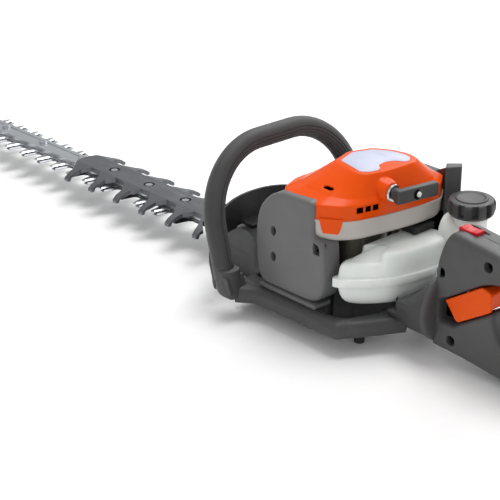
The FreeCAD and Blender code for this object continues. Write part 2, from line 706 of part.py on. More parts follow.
def side_outline(depth):
    """Side view of the muffler cover with its rounded front and dropped rear corner."""
    front = SIDE_FRONT_X
    low = SIDE_BOTTOM_Z
    ring = [(SIDE_REAR_X, SIDE_TOP_Z), (SIDE_REAR_X, 122), (SIDE_REAR_X - 16, 120),
            (SIDE_REAR_X - 18, low + 20), (SIDE_REAR_X - 10, low + 5), (SIDE_REAR_X + 4, low),
            (front - 16, low), (front - 5, low + 10), (front, low + 36), (front - 1, SIDE_TOP_Z - 42),
            (front - 7, SIDE_TOP_Z - 26), (front - 20, SIDE_TOP_Z - 15), (front - 40, SIDE_TOP_Z - 10)]
    return inset(ring, depth) if depth else ring


def side_slab(depth):
    """Solid form of the cover: side outline met with a plan that rounds the front corner."""
    y = SIDE_FACE_Y - depth
    front = SIDE_FRONT_X - depth
    plan = [(SIDE_REAR_X - 20, y - 4), (SIDE_REAR_X, y), (front - 26, y), (front - 10, y - 6),
            (front - 2, y - 16), (front, y - 30), (front, 20), (SIDE_REAR_X - 20, 20)]
    return prism(side_outline(depth), "y", 0, 120).common(prism(plan, "z", 0, 220))


def muffler_cover():
    """Side cover: a bowl open towards the engine, cut back where the engine cover sits."""
    shell = cut(side_slab(0), side_slab(SIDE_WALL))
    inner_y = CASE_HALF_W + 9.5
    shell = shell.common(box(-60, 120, inner_y, 100, 0, 220))
    top_room = prism(inset(engine_outline(), -1.9), "z", FAN_BOTTOM_Z - 2, 220)
    holes = [rod((46, SIDE_FACE_Y - 20, z), (0, 1, 0), 4.5, 30) for z in (80, 111)]
    lip = box(SIDE_REAR_X - 8, SIDE_FRONT_X - 14, inner_y, SIDE_FACE_Y + 3, SIDE_BOTTOM_Z - 3, SIDE_BOTTOM_Z)
    screw_x = SIDE_REAR_X - 7
    screw = rod((screw_x, 60, SIDE_SCREW_Z), (0, 1, 0), SCREW_R + FIT, 30)
    pocket = rod((screw_x, SIDE_FACE_Y - 5, SIDE_SCREW_Z), (0, 1, 0), 6, 10)
    land = rod((screw_x, inner_y, SIDE_SCREW_Z), (0, 1, 0), 8, SIDE_FACE_Y - 5 - inner_y)
    shell = cut(fuse(shell, lip, land), top_room, screw, pocket, *holes)
    return max(shell.Solids, key=lambda s: s.Volume)


def cover_screw():
    x = SIDE_REAR_X - 7
    z = SIDE_SCREW_Z
    seat = SIDE_FACE_Y - 5
    head = rod((x, seat, z), (0, 1, 0), SCREW_HEAD_R, 3)
    socket = prism(hexagon(x, z, 2.2), "y", seat + 1, SIDE_FACE_Y)
    return cut(fuse(head, rod((x, seat - 18, z), (0, 1, 0), SCREW_R, 18)), socket)


def carburettor():
    """Block with its intake stub, through bore and the primer's recess."""
    half = 15
    near = CARB_MID_Y + half
    body = box(CARB_FRONT_X - 32, CARB_FRONT_X, CARB_MID_Y - half, near, CARB_Z - 14, CARB_Z + 14)
    body = body.makeFillet(3, body.Edges)
    stub = rod((CARB_FRONT_X - 16, near + 6, CARB_Z), (0, -1, 0), 12, 10)
    bore = rod((CARB_FRONT_X - 16, 0, CARB_Z), (0, -1, 0), 6.5, 90)
    recess = rod((CARB_FRONT_X - 6, CARB_MID_Y, CARB_Z), (1, 0, 0), PRIMER_R + GAP, 8)
    return cut(fuse(body, stub), bore, recess)


def filter_box(depth):
    """Block outside the engine's rear right corner: a tall rear end, then a roof falling forwards."""
    rear = FILTER_REAR_X
    plan = inset([(-50, -58), (rear + 13, -66.4), (rear, -87.3), (rear + 17, -108),
                  (rear + 42, FILTER_OUT_Y), (14, FILTER_OUT_Y), (26, -104), (26, -58)], depth)
    top = FILTER_TOP_Z - depth
    low = FILTER_FRONT_Z - depth
    block = prism(plan, "z", FILTER_BOTTOM_Z + depth, top)
    roof = prism([(0, top), (40, low), (200, low), (200, 300), (0, 300)], "y", -200, 200)
    roof.rotate(V(0, 0, 0), V(0, 0, 1), FILTER_VIEW_TURN)
    roof.translate(V(-60, -85, 0))
    return block.cut(roof).cut(prism(inset(engine_outline(), -3.5 - depth), "z", 0, 300))


def air_filter_cover():
    return cut(filter_box(0), filter_box(FILTER_WALL))


def air_filter_element():
    return box(-34, 8, FILTER_OUT_Y + 6, FILTER_OUT_Y + 17, FILTER_BOTTOM_Z + 8, FILTER_FRONT_Z - 12)


def intake_plate():
    """Plate under the fan housing that keeps engine heat off the tank and the intake."""
    return box(-66, -36, -57.5, -25, TANK_TOP_Z + 1, FAN_BOTTOM_Z - GAP)


# ---------------------------------------------------------------- fuel tank
def tank_outline(depth):
    """Plan of the tank behind the engine, its left end wrapped round the side."""
    rear = TANK_REAR_X
    front = TANK_FRONT_X
    ring = [(front, 60), (front + 2, TANK_LEFT_Y - 8), (front - 3, TANK_LEFT_Y),
            (front - 18, TANK_LEFT_Y - 9), (rear + 15, TANK_STEP_Y), (rear + 4, 6), (rear, -25),
            (rear, -60), (rear + 7, -74), (front, -74)]
    return inset(ring, depth) if depth else ring


def tank_form(depth):
    """Solid form of the tank; the same form at a greater depth is its hollow."""
    plan = tank_outline(depth)
    low = TANK_BOTTOM_Z + depth
    top = TANK_TOP_Z - depth
    middle = (-59, 6)
    body = loft([(low, toward(plan, middle, 0.88)), (low + 14, plan), (low + 32 - 2 * depth, plan),
                 (top - 8, toward(plan, middle, 0.92)), (top, toward(plan, middle, 0.84))])
    step = box(-200, 0, TANK_STEP_Y - depth, 200, top - TANK_LOBE_DROP, 300)
    rear = NECK_X - NECK_R + 4 + depth
    near = TOWER_FRONT_X
    tower = [(rear, -92 + depth), (near, -92 + depth), (near, -46 - depth), (rear, -46 - depth)]
    tower_top = CAP_BASE_Z - 3 - depth
    tower_solid = loft([(SWIVEL_Z + depth, toward(tower, (near, -70), 0.9)), (SWIVEL_Z + 12 + depth, tower),
                        (tower_top - 10, tower), (tower_top, toward(tower, (NECK_X, NECK_Y), 0.86))])
    filter_room = box(FILTER_REAR_X - 2 - depth, 200, -300, -54 + depth, FILTER_BOTTOM_Z - 5 - depth, 300)
    return cut(fuse(cut(body, step), tower_solid), filter_room)


def fuel_tank():
    neck = rod((NECK_X, NECK_Y, CAP_BASE_Z - 6), (0, 0, 1), NECK_R, NECK_TOP_Z - CAP_BASE_Z + 6)
    bore = rod((NECK_X, NECK_Y, CAP_BASE_Z - 20), (0, 0, 1), NECK_R - 3, 40)
    outside = fuse(tank_form(0), neck)
    return cut(outside, tank_form(TANK_WALL), bore)


def fuel_cap():
    skirt = rod((NECK_X, NECK_Y, CAP_BASE_Z), (0, 0, 1), CAP_R, CAP_H)
    skirt = skirt.makeFillet(2.5, skirt.Edges[:1])
    inside = rod((NECK_X, NECK_Y, CAP_BASE_Z - 1), (0, 0, 1), NECK_R + GAP, NECK_TOP_Z - CAP_BASE_Z + 1.5)
    scallops = []
    for k in range(10):
        angle = math.radians(36 * k + 10)
        x = NECK_X + (CAP_R + 3) * math.cos(angle)
        y = NECK_Y + (CAP_R + 3) * math.sin(angle)
        scallops.append(rod((x, y, CAP_BASE_Z + 2), (0, 0, 1), 5, CAP_H - 5))
    return cut(skirt, inside, *scallops)


# ---------------------------------------------------------------- frame and front handle
def handle_point(y, s):
    lean = math.radians(HANDLE_LEAN)
    return V(HANDLE_BASE_X + s * math.sin(lean), y, HANDLE_BASE_Z + s * math.cos(lean))


def handle_sweep(start, radius):
    """Round bar up one leg, over the top and down the other, in one leaning plane."""
    top = (HANDLE_TOP_Z - HANDLE_BASE_Z) / math.cos(math.radians(HANDLE_LEAN))
    bend = HANDLE_BEND_R
    side = HANDLE_HALF_W
    mid = bend * math.sqrt(0.5)
    p = handle_point
    left = Part.Arc(p(side, top - bend), p(side - bend + mid, top - bend + mid), p(side - bend, top))
    right = Part.Arc(p(bend - side, top), p(bend - side - mid, top - bend + mid), p(-side, top - bend))
    edges = [Part.LineSegment(p(side, start), p(side, top - bend)).toShape(),
             left.toShape(),
             Part.LineSegment(p(side - bend, top), p(bend - side, top)).toShape(),
             right.toShape(),
             Part.LineSegment(p(-side, top - bend), p(-side, start)).toShape()]
    path = Part.Wire(edges)
    circle = Part.Wire(Part.makeCircle(radius, p(side, start), p(0, 1) - p(0, 0)))
    return path.makePipeShell([circle], True, True)


def front_handle():
    return handle_sweep(CORE_START, HANDLE_CORE_R)


def front_handle_grip():
    return handle_sweep(GRIP_START, GRIP_R).cut(handle_sweep(GRIP_START - 1, HANDLE_CORE_R + FIT))


def half_frame():
    """Left rail with its handle socket, case bracket and rear cross member."""
    z = RAIL_Z
    rail = rod((RAIL_REAR_X, RAIL_Y, z), (1, 0, 0), RAIL_R, 150)
    corner = Part.makeSphere(RAIL_R, V(RAIL_REAR_X, RAIL_Y, z))
    run = V(BOSS_FRONT_X - 8, 0, z) - V(RAIL_REAR_X, RAIL_Y, z)
    cross = Part.makeCylinder(RAIL_R, run.Length - 14, V(RAIL_REAR_X, RAIL_Y, z), run)
    near = HANDLE_HALF_W - HANDLE_CORE_R - 5
    far = HANDLE_HALF_W + HANDLE_CORE_R + 4
    rear = HANDLE_BASE_X - 16
    front = HANDLE_BASE_X + 17
    low = [(rear + 6, near), (front - 9, near), (front - 9, far - 14), (front - 14, far - 10),
           (rear + 6, far - 10)]
    middle = [(rear, near), (front - 4, near), (front - 4, far - 9), (front - 11, far - 2), (rear, far - 2)]
    high = [(rear + 6, near), (front + 1, near), (front + 1, far - 9), (front - 6, far - 1),
            (rear + 6, far - 1)]
    socket = loft([(z - 4, low), (z + 4, middle), (z + 23, high)])
    beside_gear = GEAR_X + GEAR_R + 13
    bracket = box(beside_gear - 30, beside_gear, CASE_HALF_W - 4, RAIL_Y, z - 8, z + 6)
    return fuse(rail, corner, cross, socket, bracket)


def base_frame():
    left = half_frame()
    boss = rod((BOSS_REAR_X, 0, SWIVEL_Z), (1, 0, 0), BOSS_R, BOSS_FRONT_X - BOSS_REAR_X)
    neck = rod((BOSS_REAR_X, 0, SWIVEL_Z), (1, 0, 0), PIVOT_TUBE_R + 3, PIVOT_TUBE_L + 3)
    above = box(-300, 0, -100, 100, SWIVEL_Z + 5, 300)
    under_tank = box(TANK_REAR_X - 2, 0, -100, 100, TANK_BOTTOM_Z - 1.5, 300)
    bore = rod((BOSS_REAR_X - 1, 0, SWIVEL_Z), (1, 0, 0), PIVOT_TUBE_R + RUN, PIVOT_TUBE_L + 1)
    cores = handle_sweep(CORE_START, HANDLE_CORE_R + FIT)
    ears = []
    for x, y in case_screw_places():
        ears += both_sides(rod((x, y, 0), (0, 0, 1), 7.5, 60))
    lower = fuse(left, mirrored(left), cut(boss, above, under_tank))
    return cut(fuse(lower, neck), bore, cores, *ears)


def frame_foot(y):
    peg = rod((RAIL_REAR_X + 2, y, 0), (0, 0, 1), 6, RAIL_Z - RAIL_R + 3)
    rail = rod((RAIL_REAR_X - 50, RAIL_Y, RAIL_Z), (1, 0, 0), RAIL_R, 200)
    return peg.cut(rail)


def hand_guard():
    """Bowed plate ahead of the front handle, rounded on top, standing over the gear case."""
    lift = PLATE_X - PLATE_SIDE_X
    radius = (PLATE_HALF_W ** 2 + lift ** 2) / (2 * lift)
    bow = tube((PLATE_X - radius, 0, 8), (0, 0, 1), radius, radius - PLATE_T, 140)
    bow = bow.common(box(PLATE_SIDE_X - 6, PLATE_X + 1, -PLATE_HALF_W, PLATE_HALF_W, 0, 150))
    w = PLATE_HALF_W
    rise = PLATE_TOP_Z - PLATE_SHOULDER_Z
    turns = [math.radians(180 * k / 28) for k in range(29)]
    arch = [(math.copysign(w * abs(math.cos(t)) ** 0.8, math.cos(t)),
             PLATE_SHOULDER_Z + rise * math.sin(t) ** 0.9) for t in turns]
    outline = [(-w, 14), (w, 14)] + arch
    plate = bow.common(prism(outline, "x", 0, 300))
    case = prism(inset(case_outline(0), -1), "z", 0, CASE_TOP_Z + FIT)
    foot = box(PLATE_X - 24, PLATE_X - 2, -20, 20, CASE_TOP_Z, CASE_TOP_Z + 4)
    profile = prism(case_side_profile(), "y", -CASE_HALF_W, CASE_HALF_W)
    return cut(fuse(plate, foot), case, profile)


# ---------------------------------------------------------------- rear handle
def handle_outline(depth):
    """Side view of the rear handle's outer edge, from the collar up and round to the collar."""
    front = COLLAR_FRONT_X
    ring = [(front, 28), (front, 96), (front - 3, 118), (front - 9, 138), (front - 16, 149),
            (front - 26, 153.5), (-184, 151), (-215, 148), (-280, 137), (-328, 119), (-342, 100),
            (-347, 70), (-344, 30), (-332, 10), (-312, 5), (-228, 7), (-178, 13), (front - 6, 15)]
    return inset(ring, depth) if depth else ring


def grip_opening(depth):
    """Finger opening with the lock lever's slanting slot running forwards from it."""
    ring = [(-308, 103), (-220, 114), (-200, 107), (-153, 76), (-143, 72), (-143, 49), (-163, 48),
            (-215, 81), (-220, 60), (-230, 46), (-298, 38), (-316, 50), (-320, 88)]
    return inset(ring, depth) if depth else ring


def handle_form(depth):
    w = HANDLE_W - depth
    body = prism(handle_outline(depth), "y", -w, w)
    side = prism(handle_outline(depth + 5), "y", -w - 3, w + 3)
    soft = body.common(fuse(prism(handle_outline(depth), "y", -w + 5, w - 5), side))
    collar = rod((COLLAR_FRONT_X - COLLAR_L, 0, SWIVEL_Z), (1, 0, 0), COLLAR_R - depth, COLLAR_L - depth)
    return fuse(soft, collar)


def handle_screw_places():
    return [(-145, 104), (-191, 126), (-163, 30), (-300, 21), (-332, 96)]


def handle_shells():
    """Two hollow halves that meet on the middle plane."""
    outside = cut(handle_form(0), prism(grip_opening(0), "y", -60, 60))
    inside = cut(handle_form(SHELL_WALL), prism(grip_opening(-SHELL_WALL), "y", -60, 60))
    posts = []
    drills = []
    for x, z in handle_screw_places():
        posts.append(rod((x, -HANDLE_W + 1, z), (0, 1, 0), SCREW_HEAD_R + 2.4, 2 * HANDLE_W - 2))
        drills.append(rod((x, -HANDLE_W + 5, z), (0, 1, 0), SCREW_R + FIT, 60))
        drills.append(rod((x, HANDLE_W - 7, z), (0, 1, 0), SCREW_HEAD_R + 0.8, 30))
    body = fuse(cut(outside, inside), *[p.common(outside) for p in posts])
    pivot_hole = rod((COLLAR_FRONT_X - 20, 0, SWIVEL_Z), (1, 0, 0), PIVOT_TUBE_R - 3, 40)
    switch_hole = box(-181, -153, -7.5, 7.5, 140, 170)
    lockout_hole = box(-292, -236, -6, 6, 120, 170)
    trigger_hole = box(-278, -209, -6, 6, 96, 126)
    pin_hole = rod((TRIGGER_X, -9.5, TRIGGER_Z), (0, 1, 0), 2 + FIT, 19)
    body = cut(body, pivot_hole, switch_hole, lockout_hole, trigger_hole, pin_hole, *drills)
    left = body.common(box(-400, -100, 0, 100, -10, 200))
    right = body.common(box(-400, -100, -100, 0, -10, 200))
    return left, right


def handle_screws():
    screws = []
    for x, z in handle_screw_places():
        head = rod((x, HANDLE_W - 7, z), (0, 1, 0), SCREW_HEAD_R, 3)
        socket = prism(hexagon(x, z, 2), "y", HANDLE_W - 6, HANDLE_W)
        shank = rod((x, -HANDLE_W + 6, z), (0, 1, 0), SCREW_R, 2 * HANDLE_W - 13)
        screws.append(cut(fuse(head, shank), socket))
    return screws


def swivel_tube():
    """Hollow pivot held by the handle and turning in the frame's boss."""
    x = COLLAR_FRONT_X
    stub = rod((x, 0, SWIVEL_Z), (1, 0, 0), PIVOT_TUBE_R, PIVOT_TUBE_L)
    return cut(stub, rod((x - 1, 0, SWIVEL_Z), (1, 0, 0), PIVOT_TUBE_R - 4, 30))


def lock_lever():
    """Broad channel in the slanting slot; it slides forwards and down to free the handle."""
    cheek = inset([(-157, 77), (-157, 60), (-170, 53.5), (-213, 80.5), (-213, 102), (-200, 106.5)], GAP)
    outside = prism(cheek, "y", -HANDLE_W + 1, HANDLE_W - 1)
    inside = prism(inset(cheek, 3.5), "y", -HANDLE_W, HANDLE_W)
    web = prism(cheek, "y", -3, 3)
    return fuse(cut(outside, inside), web)


def throttle_trigger():
    """Curved finger lever hanging under the grip, pivoted at its front."""
    side = [(-211, 118), (-211, 106), (-222, 94), (-238, 88), (-250, 92), (-262, 102), (-275, 107),
            (-275, 112), (-240, 118)]
    return prism(side, "y", -5.4, 5.4).cut(rod((TRIGGER_X, -10, TRIGGER_Z), (0, 1, 0), 2 + RUN, 20))


def trigger_pin():
    return rod((TRIGGER_X, -9, TRIGGER_Z), (0, 1, 0), 2, 18)


def throttle_lockout():
    """Slim lever let into the top of the grip, pivoted at its rear."""
    side = [(-290, 133), (-288, 129.5), (-240, 133), (-238, 150), (-250, 150), (-280, 141)]
    return prism(side, "y", -5.2, 5.2)


def stop_switch():
    """Rocker in the raised pad ahead of the grip."""
    side = [(-179.3, 145), (-154.7, 145), (-154.7, 157), (-167, 154), (-179.3, 155)]
    return prism(side, "y", -7, 7)


def choke_lever():
    stem = rod((CHOKE_X, CHOKE_Y, FILTER_BOTTOM_Z - GAP), (0, 0, -1), 3, 10)
    arm = box(CHOKE_X - 32, CHOKE_X + 4, CHOKE_Y - 3, CHOKE_Y + 3, FILTER_BOTTOM_Z - 14, FILTER_BOTTOM_Z - 9)
    return fuse(stem, arm)


def primer_bulb():
    """Rubber dome whose rim sinks into the carburettor's recess when pressed."""
    centre = (CARB_FRONT_X - 0.5, CARB_MID_Y, CARB_Z)
    rim = rod(centre, (1, 0, 0), PRIMER_R, 3)
    dome = Part.makeSphere(PRIMER_R - 1, V(centre[0] + 2, CARB_MID_Y, CARB_Z))
    return fuse(rim, dome.common(box(centre[0] + 2, centre[0] + 30, -200, 0, 0, 200)))


def filter_knob():
    """Knob that clamps the air filter cover."""
    y = FILTER_OUT_Y - GAP
    knob = rod((KNOB_X, y, KNOB_Z), (0, -1, 0), 12, 10)
    notches = []
    for k in range(6):
        angle = math.radians(60 * k)
        x = KNOB_X + 14 * math.cos(angle)
        z = KNOB_Z + 14 * math.sin(angle)
        notches.append(rod((x, y + 1, z), (0, -1, 0), 4, 12))
    return cut(knob, *notches)




def main():
    os.makedirs("parts", exist_ok=True)
    guard_x, bar_x = bolt_places()
    save("guide_bar", guide_bar())
    save("upper_blade", blade(UPPER_BLADE_Z, 0))
    save("lower_blade", blade(BLADE_BOTTOM_Z, -LOWER_SET_BACK))
    save("upper_link", connecting_link(UPPER_LINK_Z, 0))
    save("lower_link", connecting_link(LOWER_LINK_Z, -LOWER_SET_BACK))
    save("blade_guard", blade_guard())
    save("guard_bolts", *[bar_bolt(x, BAR_TOP_Z + GUARD_T - WELL_DEPTH) for x in guard_x])
    save("bar_bolts", *[bar_bolt(x, BAR_TOP_Z) for x in bar_x])
    save("bar_nuts", *[bar_nut(x) for x in guard_x + bar_x])
    upper, lower = gear_case()
    save("gear_case_upper", upper)
    save("gear_case_lower", lower)
    save("gear_case_screws", *[s for x, y in case_screw_places() for s in both_sides(case_screw(x, y))])
    save("drive_gear", drive_gear())
    save("gear_axle", gear_axle())
    save("clutch_drum", clutch_drum())
    save("pinion_bearing", pinion_bearing())
    save("crankcase", crankcase())
    save("crank_bearings", *crank_bearings())
    save("crankshaft", crankshaft())
    save("clutch_shoes", clutch_shoes())
    save("piston", piston())
    save("piston_rod", piston_rod())
    save("cylinder", cylinder())
    save("spark_plug", spark_plug())
    save("spark_plug_cap", spark_plug_cap())
    save("flywheel", flywheel())
    save("fan_housing", fan_housing())
    save("starter_cover", starter_cover())
    save("name_plate", name_plate())
    save("rope_guide", rope_guide())
    save("starter_pulley", starter_pulley())
    save("pulley_screw", pulley_screw())
    save("starter_grip", starter_grip())
    save("rope_knot", rope_knot())
    save("muffler", muffler())
    save("muffler_cover", muffler_cover())
    save("cover_screw", cover_screw())
    save("carburettor", carburettor())
    save("air_filter_cover", air_filter_cover())
    save("air_filter_element", air_filter_element())
    save("intake_plate", intake_plate())
    save("fuel_tank", fuel_tank())
    save("fuel_cap", fuel_cap())
    save("base_frame", base_frame())
    save("frame_feet", *[frame_foot(y) for y in (52, -52)])
    save("front_handle", front_handle())
    save("front_handle_grip", front_handle_grip())
    save("hand_guard", hand_guard())
    left, right = handle_shells()
    save("rear_handle_left", left)
    save("rear_handle_right", right)
    save("handle_screws", *handle_screws())
    save("swivel_tube", swivel_tube())
    save("lock_lever", lock_lever())
    save("throttle_trigger", throttle_trigger())
    save("trigger_pin", trigger_pin())
    save("throttle_lockout", throttle_lockout())
    save("stop_switch", stop_switch())
    save("choke_lever", choke_lever())
    save("primer_bulb", primer_bulb())
    save("filter_knob", filter_knob())


main()
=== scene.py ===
import json
import math

import bmesh
import bpy
import numpy as np
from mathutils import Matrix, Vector
from mathutils.geometry import tessellate_polygon

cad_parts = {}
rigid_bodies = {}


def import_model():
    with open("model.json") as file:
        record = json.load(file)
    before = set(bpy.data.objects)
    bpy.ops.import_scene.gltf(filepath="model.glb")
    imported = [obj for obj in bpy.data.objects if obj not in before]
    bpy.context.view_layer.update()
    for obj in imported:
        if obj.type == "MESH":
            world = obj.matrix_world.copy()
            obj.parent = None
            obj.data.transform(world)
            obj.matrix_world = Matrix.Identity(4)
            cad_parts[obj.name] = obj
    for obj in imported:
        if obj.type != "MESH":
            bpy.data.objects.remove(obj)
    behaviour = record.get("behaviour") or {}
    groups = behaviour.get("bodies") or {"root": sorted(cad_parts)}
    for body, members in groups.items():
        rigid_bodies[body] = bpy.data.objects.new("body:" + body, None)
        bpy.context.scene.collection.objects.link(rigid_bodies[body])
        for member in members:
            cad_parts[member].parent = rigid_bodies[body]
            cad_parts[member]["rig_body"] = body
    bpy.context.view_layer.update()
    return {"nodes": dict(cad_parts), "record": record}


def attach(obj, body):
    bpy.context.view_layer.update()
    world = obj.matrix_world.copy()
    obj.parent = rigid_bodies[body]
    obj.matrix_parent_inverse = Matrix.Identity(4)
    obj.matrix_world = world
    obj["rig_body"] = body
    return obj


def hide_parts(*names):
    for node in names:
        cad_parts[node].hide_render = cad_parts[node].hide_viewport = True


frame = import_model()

# A petrol hedge trimmer.  Lengths are millimetres until mesh() turns them into metres.
# +X runs forward along the blade, +Y to the left, +Z up, and the ground is z = 0.
MM = 0.001
TURN = 2 * math.pi


# ---------------------------------------------------------------- curves and surfaces
def ring(points, radius, step=1.5):
    """Closed outline with its corners rounded, as evenly spaced points.

    Each corner becomes a parabola from a point one radius before it to one radius after it,
    and the whole run is then read off at equal steps of its length.
    """
    corner = np.asarray(points, float)
    before = np.roll(corner, 1, axis=0) - corner
    after = np.roll(corner, -1, axis=0) - corner
    reach = np.broadcast_to(np.asarray(radius, float), len(corner))
    len_b = np.linalg.norm(before, axis=1)
    len_a = np.linalg.norm(after, axis=1)
    start = corner + before / len_b[:, None] * np.minimum(reach, 0.49 * len_b)[:, None]
    end = corner + after / len_a[:, None] * np.minimum(reach, 0.49 * len_a)[:, None]
    t = np.linspace(0, 1, 9)[None, :, None]
    curve = (1 - t) ** 2 * start[:, None] + 2 * t * (1 - t) * corner[:, None] + t ** 2 * end[:, None]
    curve = curve.reshape(-1, 2)
    loop = np.vstack([curve, curve[:1]])
    length = np.concatenate([[0], np.cumsum(np.linalg.norm(np.diff(loop, axis=0), axis=1))])
    count = max(12, int(length[-1] / step))
    at = np.linspace(0, length[-1], count, endpoint=False)
    return np.stack([np.interp(at, length, loop[:, 0]), np.interp(at, length, loop[:, 1])], axis=1)


def outward(loop):
    """Unit vectors square to a closed outline, pointing out of it."""
    along = np.roll(loop, -1, axis=0) - np.roll(loop, 1, axis=0)
    along /= np.linalg.norm(along, axis=1)[:, None] + 1e-12
    x, y = loop.T
    area = np.sum(x * np.roll(y, -1) - np.roll(x, -1) * y)
    return np.stack([along[:, 1], -along[:, 0]], axis=1) * np.sign(area)


def place(flat, height, axis):
    """Puts outline points (n, 2) at a height along an axis: x takes (y, z), y takes (x, z)."""
    h = np.broadcast_to(height, flat.shape[:-1])
    a, b = flat[..., 0], flat[..., 1]
    return np.stack({"x": (h, a, b), "y": (a, h, b), "z": (a, b, h)}[axis], axis=-1)


def quads(rows, cols, closed):
    """Corner numbers of the squares between neighbouring rows and columns of a grid."""
    r = np.arange(rows - 1)[:, None]
    c = np.arange(cols if closed else cols - 1)[None, :]
    n = (c + 1) % cols
    return np.stack([r * cols + c, r * cols + n, (r + 1) * cols + n, (r + 1) * cols + c],
                    axis=-1).reshape(-1, 4)


def mesh(name, verts, faces, body, material, slot, replaces=(), smooth=True, sharp=35):
    """Makes a piece from points in millimetres and turns its faces outwards."""
    data = bpy.data.meshes.new(name)
    data.from_pydata((np.asarray(verts, float) * MM).tolist(), [], [list(f) for f in faces])
    tidy = bmesh.new()
    tidy.from_mesh(data)
    bmesh.ops.remove_doubles(tidy, verts=tidy.verts, dist=1e-6)
    bmesh.ops.recalc_face_normals(tidy, faces=tidy.faces)
    tidy.to_mesh(data)
    tidy.free()
    piece = bpy.data.objects.new(name, data)
    bpy.context.scene.collection.objects.link(piece)
    if smooth:
        data.shade_smooth()
        data.set_sharp_from_angle(angle=math.radians(sharp))
    return finish_piece(piece, body, material, replaces)


def finish_piece(piece, body, material, replaces=()):
    piece.data.materials.clear()
    piece.data.materials.append(material)
    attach(piece, body)
    if replaces:
        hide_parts(*replaces)
    return piece


def skin(name, rows, body, material, slot, replaces=(), caps=(True, True), keep=None, **more):
    """Surface through closed rows of points, shape (rows, columns, 3), with flat or no ends."""
    grid = np.asarray(rows, float)
    m, n, _ = grid.shape
    faces = quads(m, n, True)
    if keep is not None:
        faces = faces[keep.reshape(-1)]
    faces = faces.tolist()
    if caps[0]:
        faces.append(list(range(n)))
    if caps[1]:
        faces.append(list(range((m - 1) * n, m * n)))
    return mesh(name, grid.reshape(-1, 3), faces, body, material, slot, replaces, **more)


def edge_levels(low, high, radius_low, radius_high, steps=5):
    """Heights and insets of a wall whose two edges are quarter circles of the given radii."""
    a = np.linspace(0, math.pi / 2, steps)
    first = np.stack([low + radius_low * (1 - np.sin(a)), radius_low * (1 - np.cos(a))], axis=1)[::-1]
    last = np.stack([high - radius_high * (1 - np.sin(a)), radius_high * (1 - np.cos(a))], axis=1)
    return np.vstack([first, last])


def slab(name, loops, axis, levels, body, material, slot, replaces=(), shift=None, bites=(), **more):
    """Plate with any number of outlines: the first is its edge and the others are holes.

    Every outline is moved inwards by each level's inset (holes outwards, by their share
    in bites), and the two flat ends between edge and holes are filled with triangles.
    """
    verts, faces, count = [], [], 0
    ends = ([], [])
    for k, loop in enumerate(loops):
        normal = outward(loop) * (1 if k == 0 else -bites[k - 1])
        rows = [place(loop - normal * inset, height, axis) for height, inset in levels]
        grid = np.stack(rows)
        if shift is not None:
            grid = shift(grid)
        verts.append(grid.reshape(-1, 3))
        faces += (quads(len(levels), len(loop), True) + count).tolist()
        for end, row in ((0, 0), (1, len(levels) - 1)):
            ends[end].append((grid[row], count + row * len(loop)))
        count += grid.shape[0] * grid.shape[1]
    for end in ends:
        numbers = np.concatenate([np.arange(len(p)) + start for p, start in end])
        for tri in tessellate_polygon([[Vector(q) for q in p] for p, _ in end]):
            faces.append([int(numbers[i]) for i in tri])
    return mesh(name, np.vstack(verts), faces, body, material, slot, replaces, **more)


def sweep(name, path, section, body, material, slot, replaces=(), side=(0, 1, 0), **more):
    """Carries a closed section along a path; side fixes which way the section faces."""
    path = np.asarray(path, float)
    along = np.gradient(path, axis=0)
    along /= np.linalg.norm(along, axis=1)[:, None]
    across = np.cross(along, np.asarray(side, float))
    across /= np.linalg.norm(across, axis=1)[:, None]
    over = np.cross(across, along)
    rows = path[:, None] + across[:, None] * section[None, :, :1] + over[:, None] * section[None, :, 1:]
    return skin(name, rows, body, material, slot, replaces, **more)


def bend_path(points, radius, step=3.0):
    """Open path through points with its corners rounded as parabolas."""
    pts = np.asarray(points, float)
    out = [pts[:1]]
    t = np.linspace(0, 1, 9)[:, None]
    for a, b, c in zip(pts[:-2], pts[1:-1], pts[2:]):
        r1 = min(radius, 0.49 * np.linalg.norm(a - b))
        r2 = min(radius, 0.49 * np.linalg.norm(c - b))
        p = b + (a - b) / np.linalg.norm(a - b) * r1
        q = b + (c - b) / np.linalg.norm(c - b) * r2
        out.append((1 - t) ** 2 * p + 2 * t * (1 - t) * b + t ** 2 * q)
    out.append(pts[-1:])
    line = np.vstack(out)
    length = np.concatenate([[0], np.cumsum(np.linalg.norm(np.diff(line, axis=0), axis=1))])
    at = np.linspace(0, length[-1], max(4, int(length[-1] / step)))
    return np.stack([np.interp(at, length, line[:, k]) for k in range(3)], axis=1)


def lathe(name, centre, axis, profile, body, material, slot, replaces=(), count=64, wave=None, **more):
    """Turns a profile of (height, radius) points about an axis; wave may vary the radius."""
    heights, radii = np.asarray(profile, float).T
    angle = np.linspace(0, TURN, count, endpoint=False)
    r = radii[:, None] * np.ones(count)[None, :]
    if wave is not None:
        r = wave(r, angle[None, :], heights[:, None])
    flat = np.stack([r * np.cos(angle), r * np.sin(angle)], axis=-1)
    grid = place(flat, heights[:, None], axis) + np.asarray(centre, float)
    return skin(name, grid, body, material, slot, replaces, **more)


def round_section(radius, count=32):
    a = np.linspace(0, TURN, count, endpoint=False)
    return np.stack([radius * np.cos(a), radius * np.sin(a)], axis=1)


